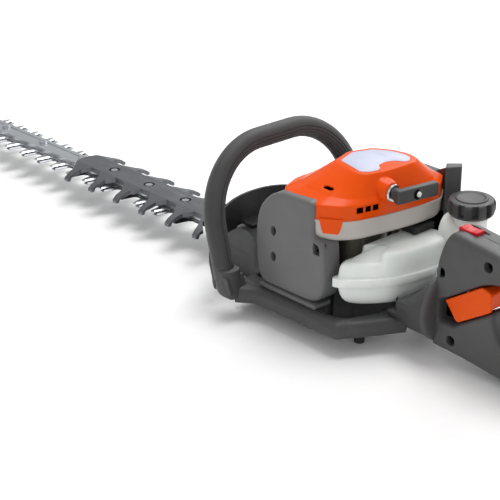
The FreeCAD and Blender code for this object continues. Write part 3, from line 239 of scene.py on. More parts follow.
def bevelled(node, material, width=0.8, segments=3, angle=30):
    """Copy of a CAD node with its flat faces joined and its edges rounded."""
    source = frame["nodes"][node]
    data = source.data.copy()
    work = bmesh.new()
    work.from_mesh(data)
    bmesh.ops.remove_doubles(work, verts=work.verts, dist=2e-6)
    bmesh.ops.dissolve_limit(work, angle_limit=math.radians(1.0), verts=work.verts, edges=work.edges)
    work.to_mesh(data)
    work.free()
    piece = bpy.data.objects.new(node + "_body", data)
    bpy.context.scene.collection.objects.link(piece)
    bevel = piece.modifiers.new("rounded", "BEVEL")
    bevel.width = width * MM
    bevel.segments = segments
    bevel.limit_method = "ANGLE"
    bevel.angle_limit = math.radians(angle)
    bevel.harden_normals = True
    data.shade_smooth()
    data.set_sharp_from_angle(angle=math.radians(40))
    return finish_piece(piece, source["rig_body"], material, (node,))


SLOTS = {s["node"]: s["material_slot"] for s in frame["record"]["subparts"]}


# ---------------------------------------------------------------- materials
def colour(code):
    """Linear red, green, blue and 1 from an sRGB hex value."""
    srgb = [int(code[k:k + 2], 16) / 255 for k in (1, 3, 5)]
    return [c / 12.92 if c <= 0.04045 else ((c + 0.055) / 1.055) ** 2.4 for c in srgb] + [1.0]


def node(tree, kind, links=(), **settings):
    """Adds one node, sets its sockets and properties, and links its inputs."""
    made = tree.nodes.new(kind)
    for key, value in settings.items():
        if key in made.inputs:
            made.inputs[key].default_value = value
        else:
            setattr(made, key, value)
    for name, source in links:
        tree.links.new(source, made.inputs[name])
    return made


def blank(name):
    """New material with its object coordinates and an unlinked surface shader."""
    made = bpy.data.materials.new(name)
    made.use_nodes = True
    tree = made.node_tree
    tree.nodes.clear()
    place_node = node(tree, "ShaderNodeTexCoord")
    shader = node(tree, "ShaderNodeBsdfPrincipled")
    node(tree, "ShaderNodeOutputMaterial", [("Surface", shader.outputs[0])])
    return made, tree, place_node.outputs["Object"], shader


def per_metre(size_mm):
    """Noise scale that makes one feature about size_mm wide."""
    return 1.0 / (size_mm * MM)


def moulded(name, low, high, rough, grain_mm=0.9, depth=0.06, patch_mm=35.0, sheen=0.0,
            spread=0.06, gleam=0.5):
    """Moulded plastic or rubber: spark-eroded grain, slight flow patches and rub marks."""
    made, tree, where, shader = blank(name)
    patch = node(tree, "ShaderNodeTexNoise", [("Vector", where)], Scale=per_metre(patch_mm), Detail=3.0)
    tone = node(tree, "ShaderNodeValToRGB", [("Fac", patch.outputs["Fac"])])
    tone.color_ramp.elements[0].position = 0.3
    tone.color_ramp.elements[0].color = colour(low)
    tone.color_ramp.elements[1].position = 0.7
    tone.color_ramp.elements[1].color = colour(high)
    tree.links.new(tone.outputs["Color"], shader.inputs["Base Color"])
    rub = node(tree, "ShaderNodeTexNoise", [("Vector", where)], Scale=per_metre(9.0), Detail=5.0)
    gloss = node(tree, "ShaderNodeMapRange", [("Value", rub.outputs["Fac"])])
    gloss.inputs["To Min"].default_value = rough - spread
    gloss.inputs["To Max"].default_value = rough + spread
    tree.links.new(gloss.outputs["Result"], shader.inputs["Roughness"])
    grain = node(tree, "ShaderNodeTexNoise", [("Vector", where)], Scale=per_metre(grain_mm), Detail=2.0)
    bump = node(tree, "ShaderNodeBump", [("Height", grain.outputs["Fac"])], Strength=1.0)
    bump.inputs["Distance"].default_value = depth * MM
    tree.links.new(bump.outputs["Normal"], shader.inputs["Normal"])
    shader.inputs["IOR"].default_value = 1.5
    shader.inputs["Specular IOR Level"].default_value = gleam
    shader.inputs["Sheen Weight"].default_value = sheen
    return made


def worked_metal(name, low, high, rough, stretch, grain_mm=0.7, depth=0.02, spread=0.08):
    """Ground, rolled or cast metal: grinding lines drawn out along one axis."""
    made, tree, where, shader = blank(name)
    pull = node(tree, "ShaderNodeMapping", [("Vector", where)])
    pull.inputs["Scale"].default_value = stretch
    lines = node(tree, "ShaderNodeTexNoise", [("Vector", pull.outputs["Vector"])], Scale=per_metre(grain_mm))
    lines.inputs["Detail"].default_value = 4.0
    stain = node(tree, "ShaderNodeTexNoise", [("Vector", where)], Scale=per_metre(22.0), Detail=4.0)
    blend = node(tree, "ShaderNodeMix", [("Factor", lines.outputs["Fac"])], data_type="RGBA")
    blend.inputs["A"].default_value = colour(low)
    blend.inputs["B"].default_value = colour(high)
    tree.links.new(stain.outputs["Fac"], blend.inputs["Factor"])
    tree.links.new(blend.outputs["Result"], shader.inputs["Base Color"])
    gloss = node(tree, "ShaderNodeMapRange", [("Value", lines.outputs["Fac"])])
    gloss.inputs["To Min"].default_value = rough - spread
    gloss.inputs["To Max"].default_value = rough + spread
    tree.links.new(gloss.outputs["Result"], shader.inputs["Roughness"])
    bump = node(tree, "ShaderNodeBump", [("Height", lines.outputs["Fac"])], Strength=1.0)
    bump.inputs["Distance"].default_value = depth * MM
    tree.links.new(bump.outputs["Normal"], shader.inputs["Normal"])
    shader.inputs["Metallic"].default_value = 1.0
    return made


def milky(name):
    """Blow-moulded polyethylene: light soaks in, with thicker cloudy streaks."""
    made = moulded(name, "#e9efeb", "#f3f7f4", 0.36, grain_mm=1.4, depth=0.03, patch_mm=28.0)
    shader = made.node_tree.nodes["Principled BSDF"]
    shader.inputs["Subsurface Weight"].default_value = 0.55
    shader.inputs["Subsurface Radius"].default_value = (1.0, 1.0, 0.9)
    shader.inputs["Subsurface Scale"].default_value = 0.006
    return made


# Dark glass-filled nylon: spark-eroded grain, dull with a faint sheen on turned edges.
nylon_dark = moulded("nylon_dark_grey_moulded", "#3b3b3c", "#434344", 0.5)
nylon_handle = moulded("nylon_handle_grey_moulded", "#474748", "#4f4f50", 0.5)
nylon_cover = moulded("nylon_cover_grey_moulded", "#646465", "#6c6c6d", 0.46)
nylon_light = moulded("nylon_light_grey_moulded", "#b8b3ad", "#c2bdb7", 0.45)
# High-gloss ABS: bright orange under a smooth skin.
abs_orange = moulded("abs_orange_gloss", "#e84e00", "#ec5200", 0.25, grain_mm=6.0, depth=0.01, spread=0.04,
                     gleam=0.18)
nylon_orange = moulded("nylon_orange_satin", "#ea5000", "#ee5602", 0.36, gleam=0.18)
nylon_red = moulded("nylon_red_satin", "#c00418", "#cc081e", 0.35, gleam=0.3)
grip_rubber = moulded("grip_rubber_overmoulded", "#363637", "#3d3d3e", 0.62, grain_mm=0.7, depth=0.1,
                      sheen=0.15)
rubber_black = moulded("rubber_black_moulded", "#1c1c1c", "#242424", 0.6)
# Near-black painted shade, set into holes, wells, slots and gaps where shade falls.
shadow_black = moulded("painted_shade_black", "#030303", "#050505", 0.8, gleam=0.05)
film_label = moulded("label_film_pale", "#b9bdd4", "#c5c8dc", 0.45, grain_mm=8.0, depth=0.005, gleam=0.3)
braid_white = moulded("rope_braid_white", "#d8d8d4", "#efefeb", 0.8, grain_mm=0.8, depth=0.3)
foam_dark = moulded("filter_foam_open_cell", "#24241f", "#3a3a33", 0.9, grain_mm=1.0, depth=0.5)
tank_milky = milky("polyethylene_tank_milky")
# Steel: the bar is ground satin and the blades are rolled; the lower blade is painted darker, as painted
# shade under the upper one.
# Bolts are bright zinc.
steel_bar = worked_metal("steel_bar_satin_ground", "#b4b8bb", "#cdd1d4", 0.4, (0.05, 1.0, 1.0))
steel_blade = worked_metal("steel_blade_rolled", "#a9acb0", "#d2d5d8", 0.34, (0.1, 1.0, 1.0))
# Darker copy of the blade steel: painted shade for the lower blade.
steel_shaded = worked_metal("steel_blade_painted_shade", "#6c6e71", "#86888c", 0.38, (0.1, 1.0, 1.0))
steel_guard = worked_metal("steel_guard_phosphated", "#646669", "#7a7c80", 0.48, (0.3, 1.0, 1.0))
steel_dark = worked_metal("steel_dark_machined", "#4a4a4c", "#5c5c5e", 0.4, (1.0, 1.0, 1.0))
zinc_bright = worked_metal("zinc_bright_plated", "#b9bcc2", "#d6d8dc", 0.22, (1.0, 1.0, 1.0), spread=0.05)
alloy_cast = worked_metal("alloy_cast_shot_blasted", "#6e6c62", "#8b897d", 0.55, (1.0, 1.0, 1.0), depth=0.12)
case_paint = moulded("case_paint_dark", "#202122", "#272829", 0.42, grain_mm=1.6, depth=0.1)
screw_black = worked_metal("steel_screw_blackened", "#1d1d1e", "#2c2c2d", 0.4, (1.0, 1.0, 1.0))


# ---------------------------------------------------------------- engine covers
ENGINE = [(58, 42), (46, 70), (28, 82), (-18, 82), (-40, 68), (-51, 50), (-57, 22), (-62, -5), (-66, -34),
          (-66, -66), (-48, -90), (18, -92), (48, -80), (60, -40)]
MIDDLE = np.array([-12.0, -6.0])
COVER_LOW = 143.0
SHOULDER = 161.0
CROWN = 188.0
CROWN_EDGE = [(14, 23), (25, -9), (15, -38), (-5, -51), (-26, -55), (-41, -51), (-49, -38), (-48, -4),
              (-45, 14), (-41, 26), (-29, 34), (-15, 31)]
LABEL_EDGE = [(9.6, 18.4), (19.1, -9.4), (10.6, -33.1), (-6.5, -44.5), (-25.6, -48.4), (-36.2, -45.7),
              (-42.6, -36.2), (-40.4, -30.4), (-31.3, -25.7), (-27.0, -15.0), (-28.8, -1.2), (-36.0, 3.4),
              (-39.2, 9.0), (-37.0, 20.5), (-28.9, 28.0), (-19.4, 25.1)]
CLIMB = [(COVER_LOW, 0.0), (SHOULDER - 2, 0.0), (SHOULDER - 0.8, 0.012), (SHOULDER, 0.05),
         (SHOULDER + 1.6, 0.13), (166, 0.3), (172, 0.5), (178, 0.69), (183, 0.84), (186, 0.935),
         (187.4, 0.985)]


def spokes(loop, centre, count=240):
    """Distances from a centre to an outline at equal angles."""
    rel = loop - centre
    angle = np.mod(np.arctan2(rel[:, 1], rel[:, 0]), TURN)
    order = np.argsort(angle)
    at = np.linspace(0, TURN, count, endpoint=False)
    return np.interp(at, angle[order], np.linalg.norm(rel, axis=1)[order], period=TURN)


def starter_cover():
    """Orange cover: upright band, crisp shoulder, then facets rising to the crown.

    At every angle the radius runs from the plan outline to the crown's outline as the
    height climbs; the climb is a straight slope with a short round at either end.
    """
    count = 480
    angle = np.linspace(0, TURN, count, endpoint=False)
    ray = np.stack([np.cos(angle), np.sin(angle)], axis=1)
    outer = spokes(ring(ENGINE, 7.0, 0.5), MIDDLE, count)
    inner = spokes(ring(CROWN_EDGE, 5.0, 0.5), MIDDLE, count)
    climb_z, climb_share = np.array(CLIMB).T
    heights = np.concatenate([np.linspace(COVER_LOW, SHOULDER - 2, 19),
                              np.linspace(SHOULDER - 1.2, 187.4, 44)])
    levels = [(z, np.interp(z, climb_z, climb_share)) for z in heights]
    levels += [(CROWN, 1.03), (CROWN, 1.4), (CROWN, 1.9)]
    rows = []
    for z, climb in levels:
        radius = np.maximum(outer + (inner - outer) * climb, 4.0)
        rows.append(place(MIDDLE + ray * radius[:, None], z, "z"))
    grid = np.stack(rows)
    centre = (grid[:-1] + grid[1:]) / 2
    rear = centre[..., 0] < -40
    tall = (centre[..., 2] > 150.8) & (centre[..., 2] < 158.4)
    gap = np.zeros(rear.shape, bool)
    for start in (26.0, 35.8, 45.6):
        gap |= (centre[..., 1] > start) & (centre[..., 1] < start + 7.4)
    slit = ((centre[..., 0] + 9.5) / 8.0) ** 2 + ((centre[..., 1] - 57.0) / 2.6) ** 2 < 1
    cover = skin("starter_cover_shell", grid, "main_unit", abs_orange, SLOTS["starter_cover"],
                 ("starter_cover",), caps=(False, True), keep=~((rear & tall & gap) | slit), sharp=20)
    wall = cover.modifiers.new("wall", "SOLIDIFY")
    wall.thickness = 2.2 * MM
    wall.offset = -1.0
    # Near-black inner wall inside the cover: painted shade seen through the rear vents and the slit.
    inner_wall = ring(MIDDLE + (np.array(ENGINE) - MIDDLE) * 0.93, 9.0, 5)
    skin("cover_inner_painted_shade", np.stack([place(inner_wall, z, "z") for z in (146.0, 159.5)]), "main_unit",
         shadow_black, SLOTS["starter_pulley"])


def plan_strip(first, last, low, high, proud, name, material, slot):
    """Tab that follows the engine outline between two points, rounded at its lower corners."""
    base = ring(ENGINE, 9.0, 1.0)
    a = int(np.argmin(np.linalg.norm(base - np.array(first), axis=1)))
    b = int(np.argmin(np.linalg.norm(base - np.array(last), axis=1)))
    line = base[a:b + 1]
    out = outward(base)[a:b + 1]
    across = np.linspace(-1, 1, len(line))
    bottom = low + (high - low) * np.clip((np.abs(across) - 0.62) / 0.38, 0, 1) ** 1.4
    rows = [place(line + out * proud, high, "z"), place(line + out * proud, bottom, "z"),
            place(line - out, bottom, "z"), place(line - out, high, "z")]
    return skin(name, np.stack([np.stack(rows)[:, k] for k in range(len(line))]), "main_unit", material,
                slot)


def fan_housing():
    """Light grey tray: outline carried up a rounded foot, with a narrow rim at the top."""
    base = ring(ENGINE, 9.0, 1.6)
    normal = outward(base)
    levels = [(118.0, 14.0), (118.2, 8.0), (119.4, 4.6), (121.5, 2.2), (125.0, 0.6), (130.0, 0.0),
              (140.5, -0.4), (141.0, -1.6), (142.6, -1.7), (143.4, -0.9), (143.4, 4.0)]
    grid = np.stack([place(base - normal * inset, z, "z") for z, inset in levels])
    skin("fan_housing_tray", grid, "main_unit", nylon_light, SLOTS["fan_housing"], ("fan_housing",))


def label():
    """Blank pale film on the crown, notched on its rear side."""
    slab("name_plate_film", [ring(LABEL_EDGE, 3.5, 0.8)], "z",
         [(CROWN - 0.2, 0), (CROWN + 0.35, 0), (CROWN + 0.5, 0.3)], "main_unit", film_label,
         SLOTS["name_plate"], ("name_plate",))


def side_cover():
    """Grey muffler cover: side outline drawn in over a rounded face, front swept back."""
    outline = [(-15.5, 163), (-15.5, 122), (-31, 119), (-33.5, 64), (-28, 50), (-12, 43), (66, 43), (76, 50),
               (81.5, 74), (82, 104), (78, 126), (68, 141), (50, 155), (34, 161)]
    loop = ring(outline, [8, 7, 9, 14, 14, 12, 12, 18, 22, 18, 14, 14, 12, 8], 1.2)
    levels = edge_levels(60.0, 86.5, 0.5, 4.6, 8)

    def sweep_back(grid):
        """What lies ahead of x = 52 shrinks towards it, by a quarter ellipse of the depth."""
        out = grid.copy()
        depth = np.clip((grid[..., 1] - 60.5) / 27.0, 0, 1)
        share = 0.62 + 0.38 * np.sqrt(1 - depth ** 2)
        front = grid[..., 0] > 52
        out[..., 0] = np.where(front, 52 + (grid[..., 0] - 52) * share, grid[..., 0])
        return out

    angle = np.linspace(0, TURN, 28, endpoint=False)
    oval = np.stack([4.0 * np.cos(angle), 5.6 * np.sin(angle)], axis=1)
    holes = [oval + (46.0, z) for z in (80.0, 111.3)]
    pocket = ring([(-27.5, 104), (-17.0, 104), (-17.0, 117), (-27.5, 116.6)], 2.0, 0.8)
    slab("muffler_cover_shell", [loop] + holes + [pocket], "y", levels, "main_unit", nylon_cover,
         SLOTS["muffler_cover"], ("muffler_cover",), shift=sweep_back, bites=(0.1, 0.1, 0.1))
    # Near-black sheet behind the cover's holes and pocket: painted shade inside the openings.
    back = ring([(-31, 99), (60, 72), (60, 116), (-31, 118)], 2, 4)
    slab("cover_hole_painted_shade", [back], "y", [(80.0, 0), (80.5, 0)], "main_unit", shadow_black,
         SLOTS["muffler_cover"])
    lip = ring([(-24, 38.2), (66, 38.2), (66, 43.4), (-24, 43.4)], 1.4, 1.2)
    slab("muffler_cover_lip", [lip], "y", edge_levels(64, 89.3, 0.5, 1.2, 4), "main_unit", nylon_cover,
         SLOTS["muffler_cover"])


# ---------------------------------------------------------------- fuel tank and cap
def smoothstep(x, low, high):
    t = np.clip((x - low) / (high - low), 0, 1)
    return t * t * (3 - 2 * t)


def fuel_tank():
    """Milky tank: plan outline lofted upwards, with a seam band and a lower left lobe.

    Each row is the outline drawn towards its middle by a share; the seam band is the
    outline itself, and the left lobe sinks by up to 10.5 mm beyond a short slope.
    """
    outline = [(-39, 62), (-36.5, 72), (-41, 81.5), (-57, 72), (-83, 38), (-94, 6), (-98, -25), (-98, -60),
               (-91, -74), (-40, -74)]
    base = ring(outline, [4, 6, 5, 16, 26, 30, 30, 16, 10, 8], 1.4)
    middle = np.array([-62.0, 6.0])
    profile = [(46, 0.3), (46, 0.62), (46.4, 0.68), (47.5, 0.73), (50, 0.785), (54, 0.835), (59, 0.87),
               (65, 0.893), (69.6, 0.905), (70.2, 0.92), (70.4, 0.985), (71, 1.0), (80, 1.0), (80.6, 0.985),
               (80.8, 0.92), (81.4, 0.908), (88, 0.9), (95, 0.89), (101, 0.875), (104.6, 0.85),
               (106.8, 0.81), (107.7, 0.77), (108, 0.72), (108, 0.3)]
    rows = []
    for z, k in profile:
        flat = middle + (base - middle) * k
        drop = 10.5 * smoothstep(flat[:, 1], 34.0, 37.0) * np.clip((z - 80.0) / 28.0, 0, 1)
        rows.append(place(flat, z - drop, "z"))
    skin("fuel_tank_shell", np.stack(rows), "main_unit", tank_milky, SLOTS["fuel_tank"], ("fuel_tank",),
         sharp=50)
    tower = ring([(-124, -91), (-68, -91), (-68, -47), (-124, -47)], 16, 1.8)
    normal = outward(tower)
    levels = [(60, 12), (61, 7), (64, 3), (70, 0.5), (82, 0), (108, 0), (117, 1), (124, 4), (128.5, 8),
              (131.5, 13)]
    rows = []
    for z, d in levels:
        flat = tower - normal * d
        flat[:, 0] = np.where(z > 106, np.minimum(flat[:, 0], -80.0), flat[:, 0])
        rows.append(place(flat, z, "z"))
    skin("fuel_tank_tower", np.stack(rows), "main_unit", tank_milky, SLOTS["fuel_tank"])
    lathe("fuel_tank_neck", (-107, -70, 0), "z", [(122, 19.0), (138, 19.0), (140, 18.0), (140, 15)],
          "main_unit", tank_milky, SLOTS["fuel_tank"])


def fuel_cap():
    """Cap turned from a profile, with ten finger scallops pressed into its side."""
    profile = [(134.6, 19.7), (134.6, 22.4), (136.2, 24.6), (138.0, 25.6), (139.5, 26.4), (141.5, 26.9),
               (149.0, 26.9), (151.5, 26.2), (153.0, 24.6), (153.4, 22.0), (153.6, 18.6), (154.8, 17.8),
               (154.9, 16.4), (154.2, 15.4), (153.9, 13.0), (153.8, 0.01)]

    def scallop(r, angle, height):
        dip = np.clip(np.cos(angle * 10 + 0.8) * 2.2 - 0.35, 0, 1)
        side = ((height > 139) & (height < 152)).astype(float) * (r > 20)
        return r - 5.2 * dip * side

    lathe("fuel_cap_knob", (-107, -70, 0), "z", profile, "fuel_cap", nylon_dark, SLOTS["fuel_cap"],
          ("fuel_cap",), count=240, wave=scallop)


# ---------------------------------------------------------------- front handle, frame
LEAN = math.radians(15.0)
GROOVE_SIDE = math.radians(225.0)


def leaning(y, s):
    """Point at width y and slant height s in the front handle's plane."""
    y, s = np.broadcast_arrays(np.asarray(y, float), np.asarray(s, float))
    return np.stack([93.0 + s * math.sin(LEAN), y, 22.0 + s * math.cos(LEAN)], axis=-1)


def arch(start, side=112.0, top=167.2, bend=86.0):
    """Handle line: leg, quarter circle, straight top, quarter circle, leg."""
    a = np.linspace(0, math.pi / 2, 46)
    leg = np.linspace(start, top - bend, 16)[:-1]
    y = np.concatenate([np.full(15, side), side - bend + bend * np.cos(a), -(side - bend) - bend * np.sin(a),
                        np.full(15, -side)])
    s = np.concatenate([leg, top - bend + bend * np.sin(a), top - bend + bend * np.cos(a), leg[::-1]])
    return leaning(y, s)


def front_handle():
    """Grip carried along the arch, with six lengthwise grooves on its inner rear side."""
    a = np.linspace(0, TURN, 132, endpoint=False)
    groove = np.clip(np.cos(a * 20) * 2.6 - 1.6, 0, 1)
    inner = (np.abs(np.mod(a - GROOVE_SIDE + math.pi, TURN) - math.pi) < 0.8).astype(float)
    radius = 12.4 - 1.2 * groove * inner
    section = np.stack([radius * np.cos(a), radius * np.sin(a)], axis=1)
    path = arch(37.0)
    sweep("front_handle_grip_skin", path, section, "main_unit", grip_rubber, SLOTS["front_handle_grip"],
          ("front_handle_grip",), side=(math.cos(LEAN), 0, -math.sin(LEAN)), sharp=60)
    for side in (1, -1):
        line = leaning(np.full(4, 112.0 * side), np.array([22.0, 26.0, 37.0, 39.0]))
        sweep("front_handle_cuff_%s" % ("left" if side > 0 else "right"), line, round_section(12.45),
              "main_unit", nylon_dark, SLOTS["base_frame"], side=(0, 1, 0))


def base_frame():
    """Side rails swept round the rear corners into the boss, with handle sockets in front."""
    for side, word in ((1, "left"), (-1, "right")):
        line = bend_path([(86, 106 * side, 27), (62, 89 * side, 27.5), (-60, 89 * side, 27.5),
                          (-96, 22 * side, 27.5)], 24, 2.5)
        a = np.linspace(0, TURN, 40, endpoint=False)
        oval = np.stack([10.4 * np.sign(np.cos(a)) * np.abs(np.cos(a)) ** 0.75,
                         10.4 * np.sign(np.sin(a)) * np.abs(np.sin(a)) ** 0.75], axis=1)
        sweep("frame_rail_" + word, line, oval, "main_unit", nylon_dark, SLOTS["base_frame"], side=(0, 0, 1))
        socket = ring([(77, 98 * side), (107, 98 * side), (107, 124.2 * side), (77, 124.2 * side)], 12.5,
                      1.2)
        slab("handle_socket_" + word, [socket], "z", edge_levels(22.0, 57.0, 10, 2, 8), "main_unit",
             nylon_dark, SLOTS["base_frame"], shift=lean_forward)


def lean_forward(grid):
    """Moves points forward with height, by the front handle's lean."""
    out = grid.copy()
    out[..., 0] += (grid[..., 2] - 34.0) * math.tan(LEAN)
    return out


# ---------------------------------------------------------------- rear handle
SWIVEL_Z = 57.0
WELL_R = 5.4
WELL_FLOOR_R = 5.3
HANDLE = [(-135, 15), (-135, 98), (-138, 120), (-145, 140), (-152, 151), (-162, 154), (-184, 151),
          (-215, 148), (-280, 137), (-326, 120), (-342, 100), (-347, 70), (-344, 30), (-332, 10), (-312, 5),
          (-228, 7), (-178, 13)]
HANDLE_R = [4, 20, 20, 14, 12, 12, 25, 40, 60, 26, 26, 40, 30, 18, 16, 60, 40]
OPENING = [(-308, 103), (-220, 114), (-200, 107), (-153, 76), (-143, 72), (-143, 49), (-163, 48), (-215, 81),
           (-220, 60), (-230, 46), (-298, 38), (-316, 50), (-320, 88)]
OPENING_R = [14, 10, 6, 4, 4, 4, 3, 5, 8, 12, 14, 14, 18]


def rear_handle():
    """Two shells with well rounded edges, a groove along their joint and screw wells."""
    outer = ring(HANDLE, HANDLE_R, 1.4)
    inner = ring(OPENING, OPENING_R, 1.4)
    wells = [(-145, 105), (-207, 131), (-163, 30), (-300, 21), (-332, 96)]
    for side, word in ((1, "left"), (-1, "right")):
        levels = [(0.15, 0.5), (0.5, 0.0)] + [tuple(p) for p in edge_levels(2.0, 22.0, 0.01, 8.0, 9)]
        levels = [(y * side, inset) for y, inset in levels]
        corners = [(-WELL_R, -WELL_R), (WELL_R, -WELL_R), (WELL_R, WELL_R), (-WELL_R, WELL_R)]
        holes = [ring([(x + a, z + b) for a, b in corners], WELL_FLOOR_R, 0.8) for x, z in wells]
        loops = [outer, inner] + (holes if side > 0 else [])
        bites = [0.5] + ([0.06] * len(holes) if side > 0 else [])
        slab("rear_handle_shell_" + word, loops, "y", levels, "rear_handle", nylon_handle,
             SLOTS["rear_handle_" + word], ("rear_handle_" + word,), sharp=40, bites=bites)
    # Near-black discs at the bottom of the screw wells: painted shade inside the wells.
    for k, (x, z) in enumerate(wells):
        lathe("handle_well_%d" % (k + 1), (x, 0, z), "y",
              [(14.0, 0.01), (14.0, WELL_FLOOR_R), (14.3, WELL_FLOOR_R), (14.3, 0.01)], "rear_handle",
              shadow_black, SLOTS["rear_handle_left"], count=24)


def swivel_collar():
    """Round flange that meets the frame's boss, its outer edge well rounded."""
    profile = [(-141, 22), (-140.8, 34), (-140, 38.5), (-138.4, 41), (-136.6, 42), (-135.2, 42), (-135, 41),
               (-135, 20)]
    lathe("swivel_collar_ring", (0, 0, SWIVEL_Z), "x", profile, "rear_handle", nylon_handle,
          SLOTS["rear_handle_left"], count=96)


def boss_fairing():
    """Frame boss as a flared body: half ellipses above, growing towards the collar.

    Each row is a circle of 40.4 mm below the joint's axis and an ellipse above it, whose
    height rises from 5 mm at the tank to 40.4 mm at the collar.
    """
    a = np.linspace(0, TURN, 72, endpoint=False)
    rows = []
    for x, half, rise in ((-86, 22, -13), (-92, 32, -12.4), (-98, 37.5, -11), (-101, 39.2, 2),
                          (-106, 40.2, 8), (-113, 40.4, 14), (-120, 40.4, 22), (-126, 40.4, 29),
                          (-131, 40.4, 36), (-133.2, 40.4, 39.6), (-134.2, 39.6, 39.4)):
        up = np.where(np.sin(a) > 0, rise, half)
        flat = np.stack([half * np.cos(a), SWIVEL_Z + up * np.sin(a)], axis=1)
        rows.append(place(flat, x, "x"))
    skin("frame_boss_fairing", np.stack(rows), "main_unit", nylon_dark, SLOTS["base_frame"])


def intake_filler():
    """Near-black block that fills the corner between air filter, engine and tank: painted shade."""
    outline = ring([(-72, -84), (-46, -84), (-46, -56), (-66, -56)], 3, 1.5)
    slab("intake_corner_painted_shade", [outline], "z", edge_levels(99.0, 119.0, 1.0, 1.0, 4), "main_unit",
         shadow_black, SLOTS["intake_plate"])


def lock_lever():
    """Broad orange channel: two cheeks with a hollowed front edge, joined by a web."""
    cheek = [(-151.8, 74.4), (-157, 68), (-162.4, 61.5), (-166, 56), (-170, 53.9), (-212.5, 80.5),
             (-212.5, 101.5), (-200, 105.6)]
    web = [(-163, 73), (-172, 62), (-176, 59.4), (-211, 82), (-211, 100), (-200, 103.6)]
    slab("lock_lever_cheek_left", [ring(cheek, [1.5, 6, 8, 4, 3, 3, 4, 4], 1.0)], "y",
         edge_levels(16.5, 21.0, 0.6, 1.4), "lock_lever", nylon_orange, SLOTS["lock_lever"],
         ("lock_lever",))
    slab("lock_lever_cheek_right", [ring(cheek, [1.5, 6, 8, 4, 3, 3, 4, 4], 1.0)], "y",
         edge_levels(-21.0, -16.5, 1.4, 0.6), "lock_lever", nylon_orange, SLOTS["lock_lever"])
    slab("lock_lever_web", [ring(web, 2.0, 1.2)], "y", [(-17, 0), (17, 0)], "lock_lever", nylon_orange,
         SLOTS["lock_lever"])
    # Near-black floor in the lever's slot: painted shade inside the slot.
    slot_floor = ring([(-143.5, 72), (-143.5, 49), (-153.5, 50), (-153.5, 76)], 2, 2)
    slab("lock_slot_painted_shade", [slot_floor], "y", [(-14, 0), (7, 0)], "rear_handle", shadow_black,
         SLOTS["rear_handle_left"])


def trigger():
    """Throttle trigger: curved front face, thinned towards its tail."""
    outline = [(-211, 118), (-211, 106), (-222, 93), (-238, 88), (-252, 92), (-264, 102), (-275, 107),
               (-275, 112), (-240, 118)]
    slab("throttle_trigger_blade", [ring(outline, [2, 6, 10, 14, 14, 10, 3, 2, 4], 1.0)], "y",
         edge_levels(-5.4, 5.4, 2.6, 2.6, 5), "throttle_trigger", nylon_orange, SLOTS["throttle_trigger"],
         ("throttle_trigger",))


def stop_switch():
    """Red rocker with a raised front end, and the bezel that the right shell has beside it."""
    x = [-178.2, -177.6, -169, -162, -158.5, -156, -153.0, -152.8]
    top = [150.5, 155.6, 154.8, 155.0, 156.0, 156.6, 155.4, 150.0]
    outline = [(a, b) for a, b in zip(x, top)] + [(-152.8, 144), (-178.2, 144)]
    slab("stop_switch_rocker", [ring(outline, 1.0, 0.7)], "y", edge_levels(-6.9, 6.9, 1.2, 1.2, 4),
         "stop_switch", nylon_red, SLOTS["stop_switch"], ("stop_switch",))
    bezel = ring([(-187, 146), (-148, 140), (-149, 148.5), (-154, 154.4), (-161, 156.2), (-174, 155.0),
                  (-184, 151.5)], [2, 2, 3, 4, 5, 4, 4], 1.0)
    slab("switch_bezel_right", [bezel], "y", edge_levels(-11.5, -7.4, 2.6, 0.3, 5), "rear_handle",
         nylon_handle, SLOTS["rear_handle_left"])


def starter_grip():
    """Pull bar of rounded square section, turned a little about the vertical, with its neck."""
    axis_x, axis_y, z = -75.0, 10.0, 168.0
    half = ring([(-5, -8), (5, -8), (5, 8), (-5, 8)], 3.0, 0.8)
    turn = math.radians(-10.0)
    levels = edge_levels(-37.5 + axis_y - 10, axis_y + 8, 1.6, 2.0, 4)
    rows = []
    for y, inset in levels:
        flat = half - outward(half) * inset
        pts = np.stack([flat[:, 0], np.full(len(flat), y - axis_y), flat[:, 1]], axis=1)
        x = pts[:, 0] * math.cos(turn) - pts[:, 1] * math.sin(turn)
        y2 = pts[:, 0] * math.sin(turn) + pts[:, 1] * math.cos(turn)
        rows.append(np.stack([axis_x + x, axis_y + y2, z + pts[:, 2]], axis=1))
    skin("starter_grip_bar", np.stack(rows), "starter_grip", nylon_dark, SLOTS["starter_grip"],
         ("starter_grip",))
    lathe("starter_grip_neck", (0, axis_y, z), "x", [(-73, 7.0), (-66.5, 7.4), (-65.2, 6.8), (-65.2, 2.0)],
          "starter_grip", nylon_dark, SLOTS["starter_grip"], count=40)
    knot_x = axis_x + 18 * math.sin(turn) - 5 * math.cos(turn)
    knot_y = axis_y - 18 * math.cos(turn)
    # Near-black ring around the knot: painted shade inside the rope hole.
    lathe("starter_grip_eye_painted_shade", (0, knot_y, z), "x",
          [(knot_x - 0.25, 6.3), (knot_x - 0.1, 6.1), (knot_x + 0.3, 6.1)], "starter_grip", shadow_black,
          SLOTS["starter_grip"], count=40)
    a = np.linspace(0.05, math.pi - 0.05, 14)
    ball = [(knot_x - 1.1 - 2.4 * math.cos(t), 3.1 * math.sin(t)) for t in a]
    lathe("rope_knot_ball", (0, knot_y, z), "x", ball, "starter_grip", braid_white, SLOTS["rope_knot"],
          ("rope_knot",), count=28)
    lathe("rope_guide_ring", (0, axis_y, z), "x", [(-50, 6), (-60, 6.2), (-60.5, 9.6), (-62.5, 10.2),
                                                   (-64.2, 9.2), (-64.4, 6.6), (-62.0, 3.0)], "main_unit",
          zinc_bright, SLOTS["rope_guide"], ("rope_guide",), count=56)
    lathe("rope_guide_boss", (0, axis_y, z), "x", [(-40, 16.0), (-52, 14.5), (-58, 12.8), (-60.6, 11.6),
                                                   (-61.4, 10.0)], "main_unit", abs_orange,
          SLOTS["starter_cover"], count=56)


# ---------------------------------------------------------------- blades
TOOTH_PITCH = 37.0
TEETH = 16
FIRST_TOOTH_X = 289.0
SIDE_STAGGER = -20.7


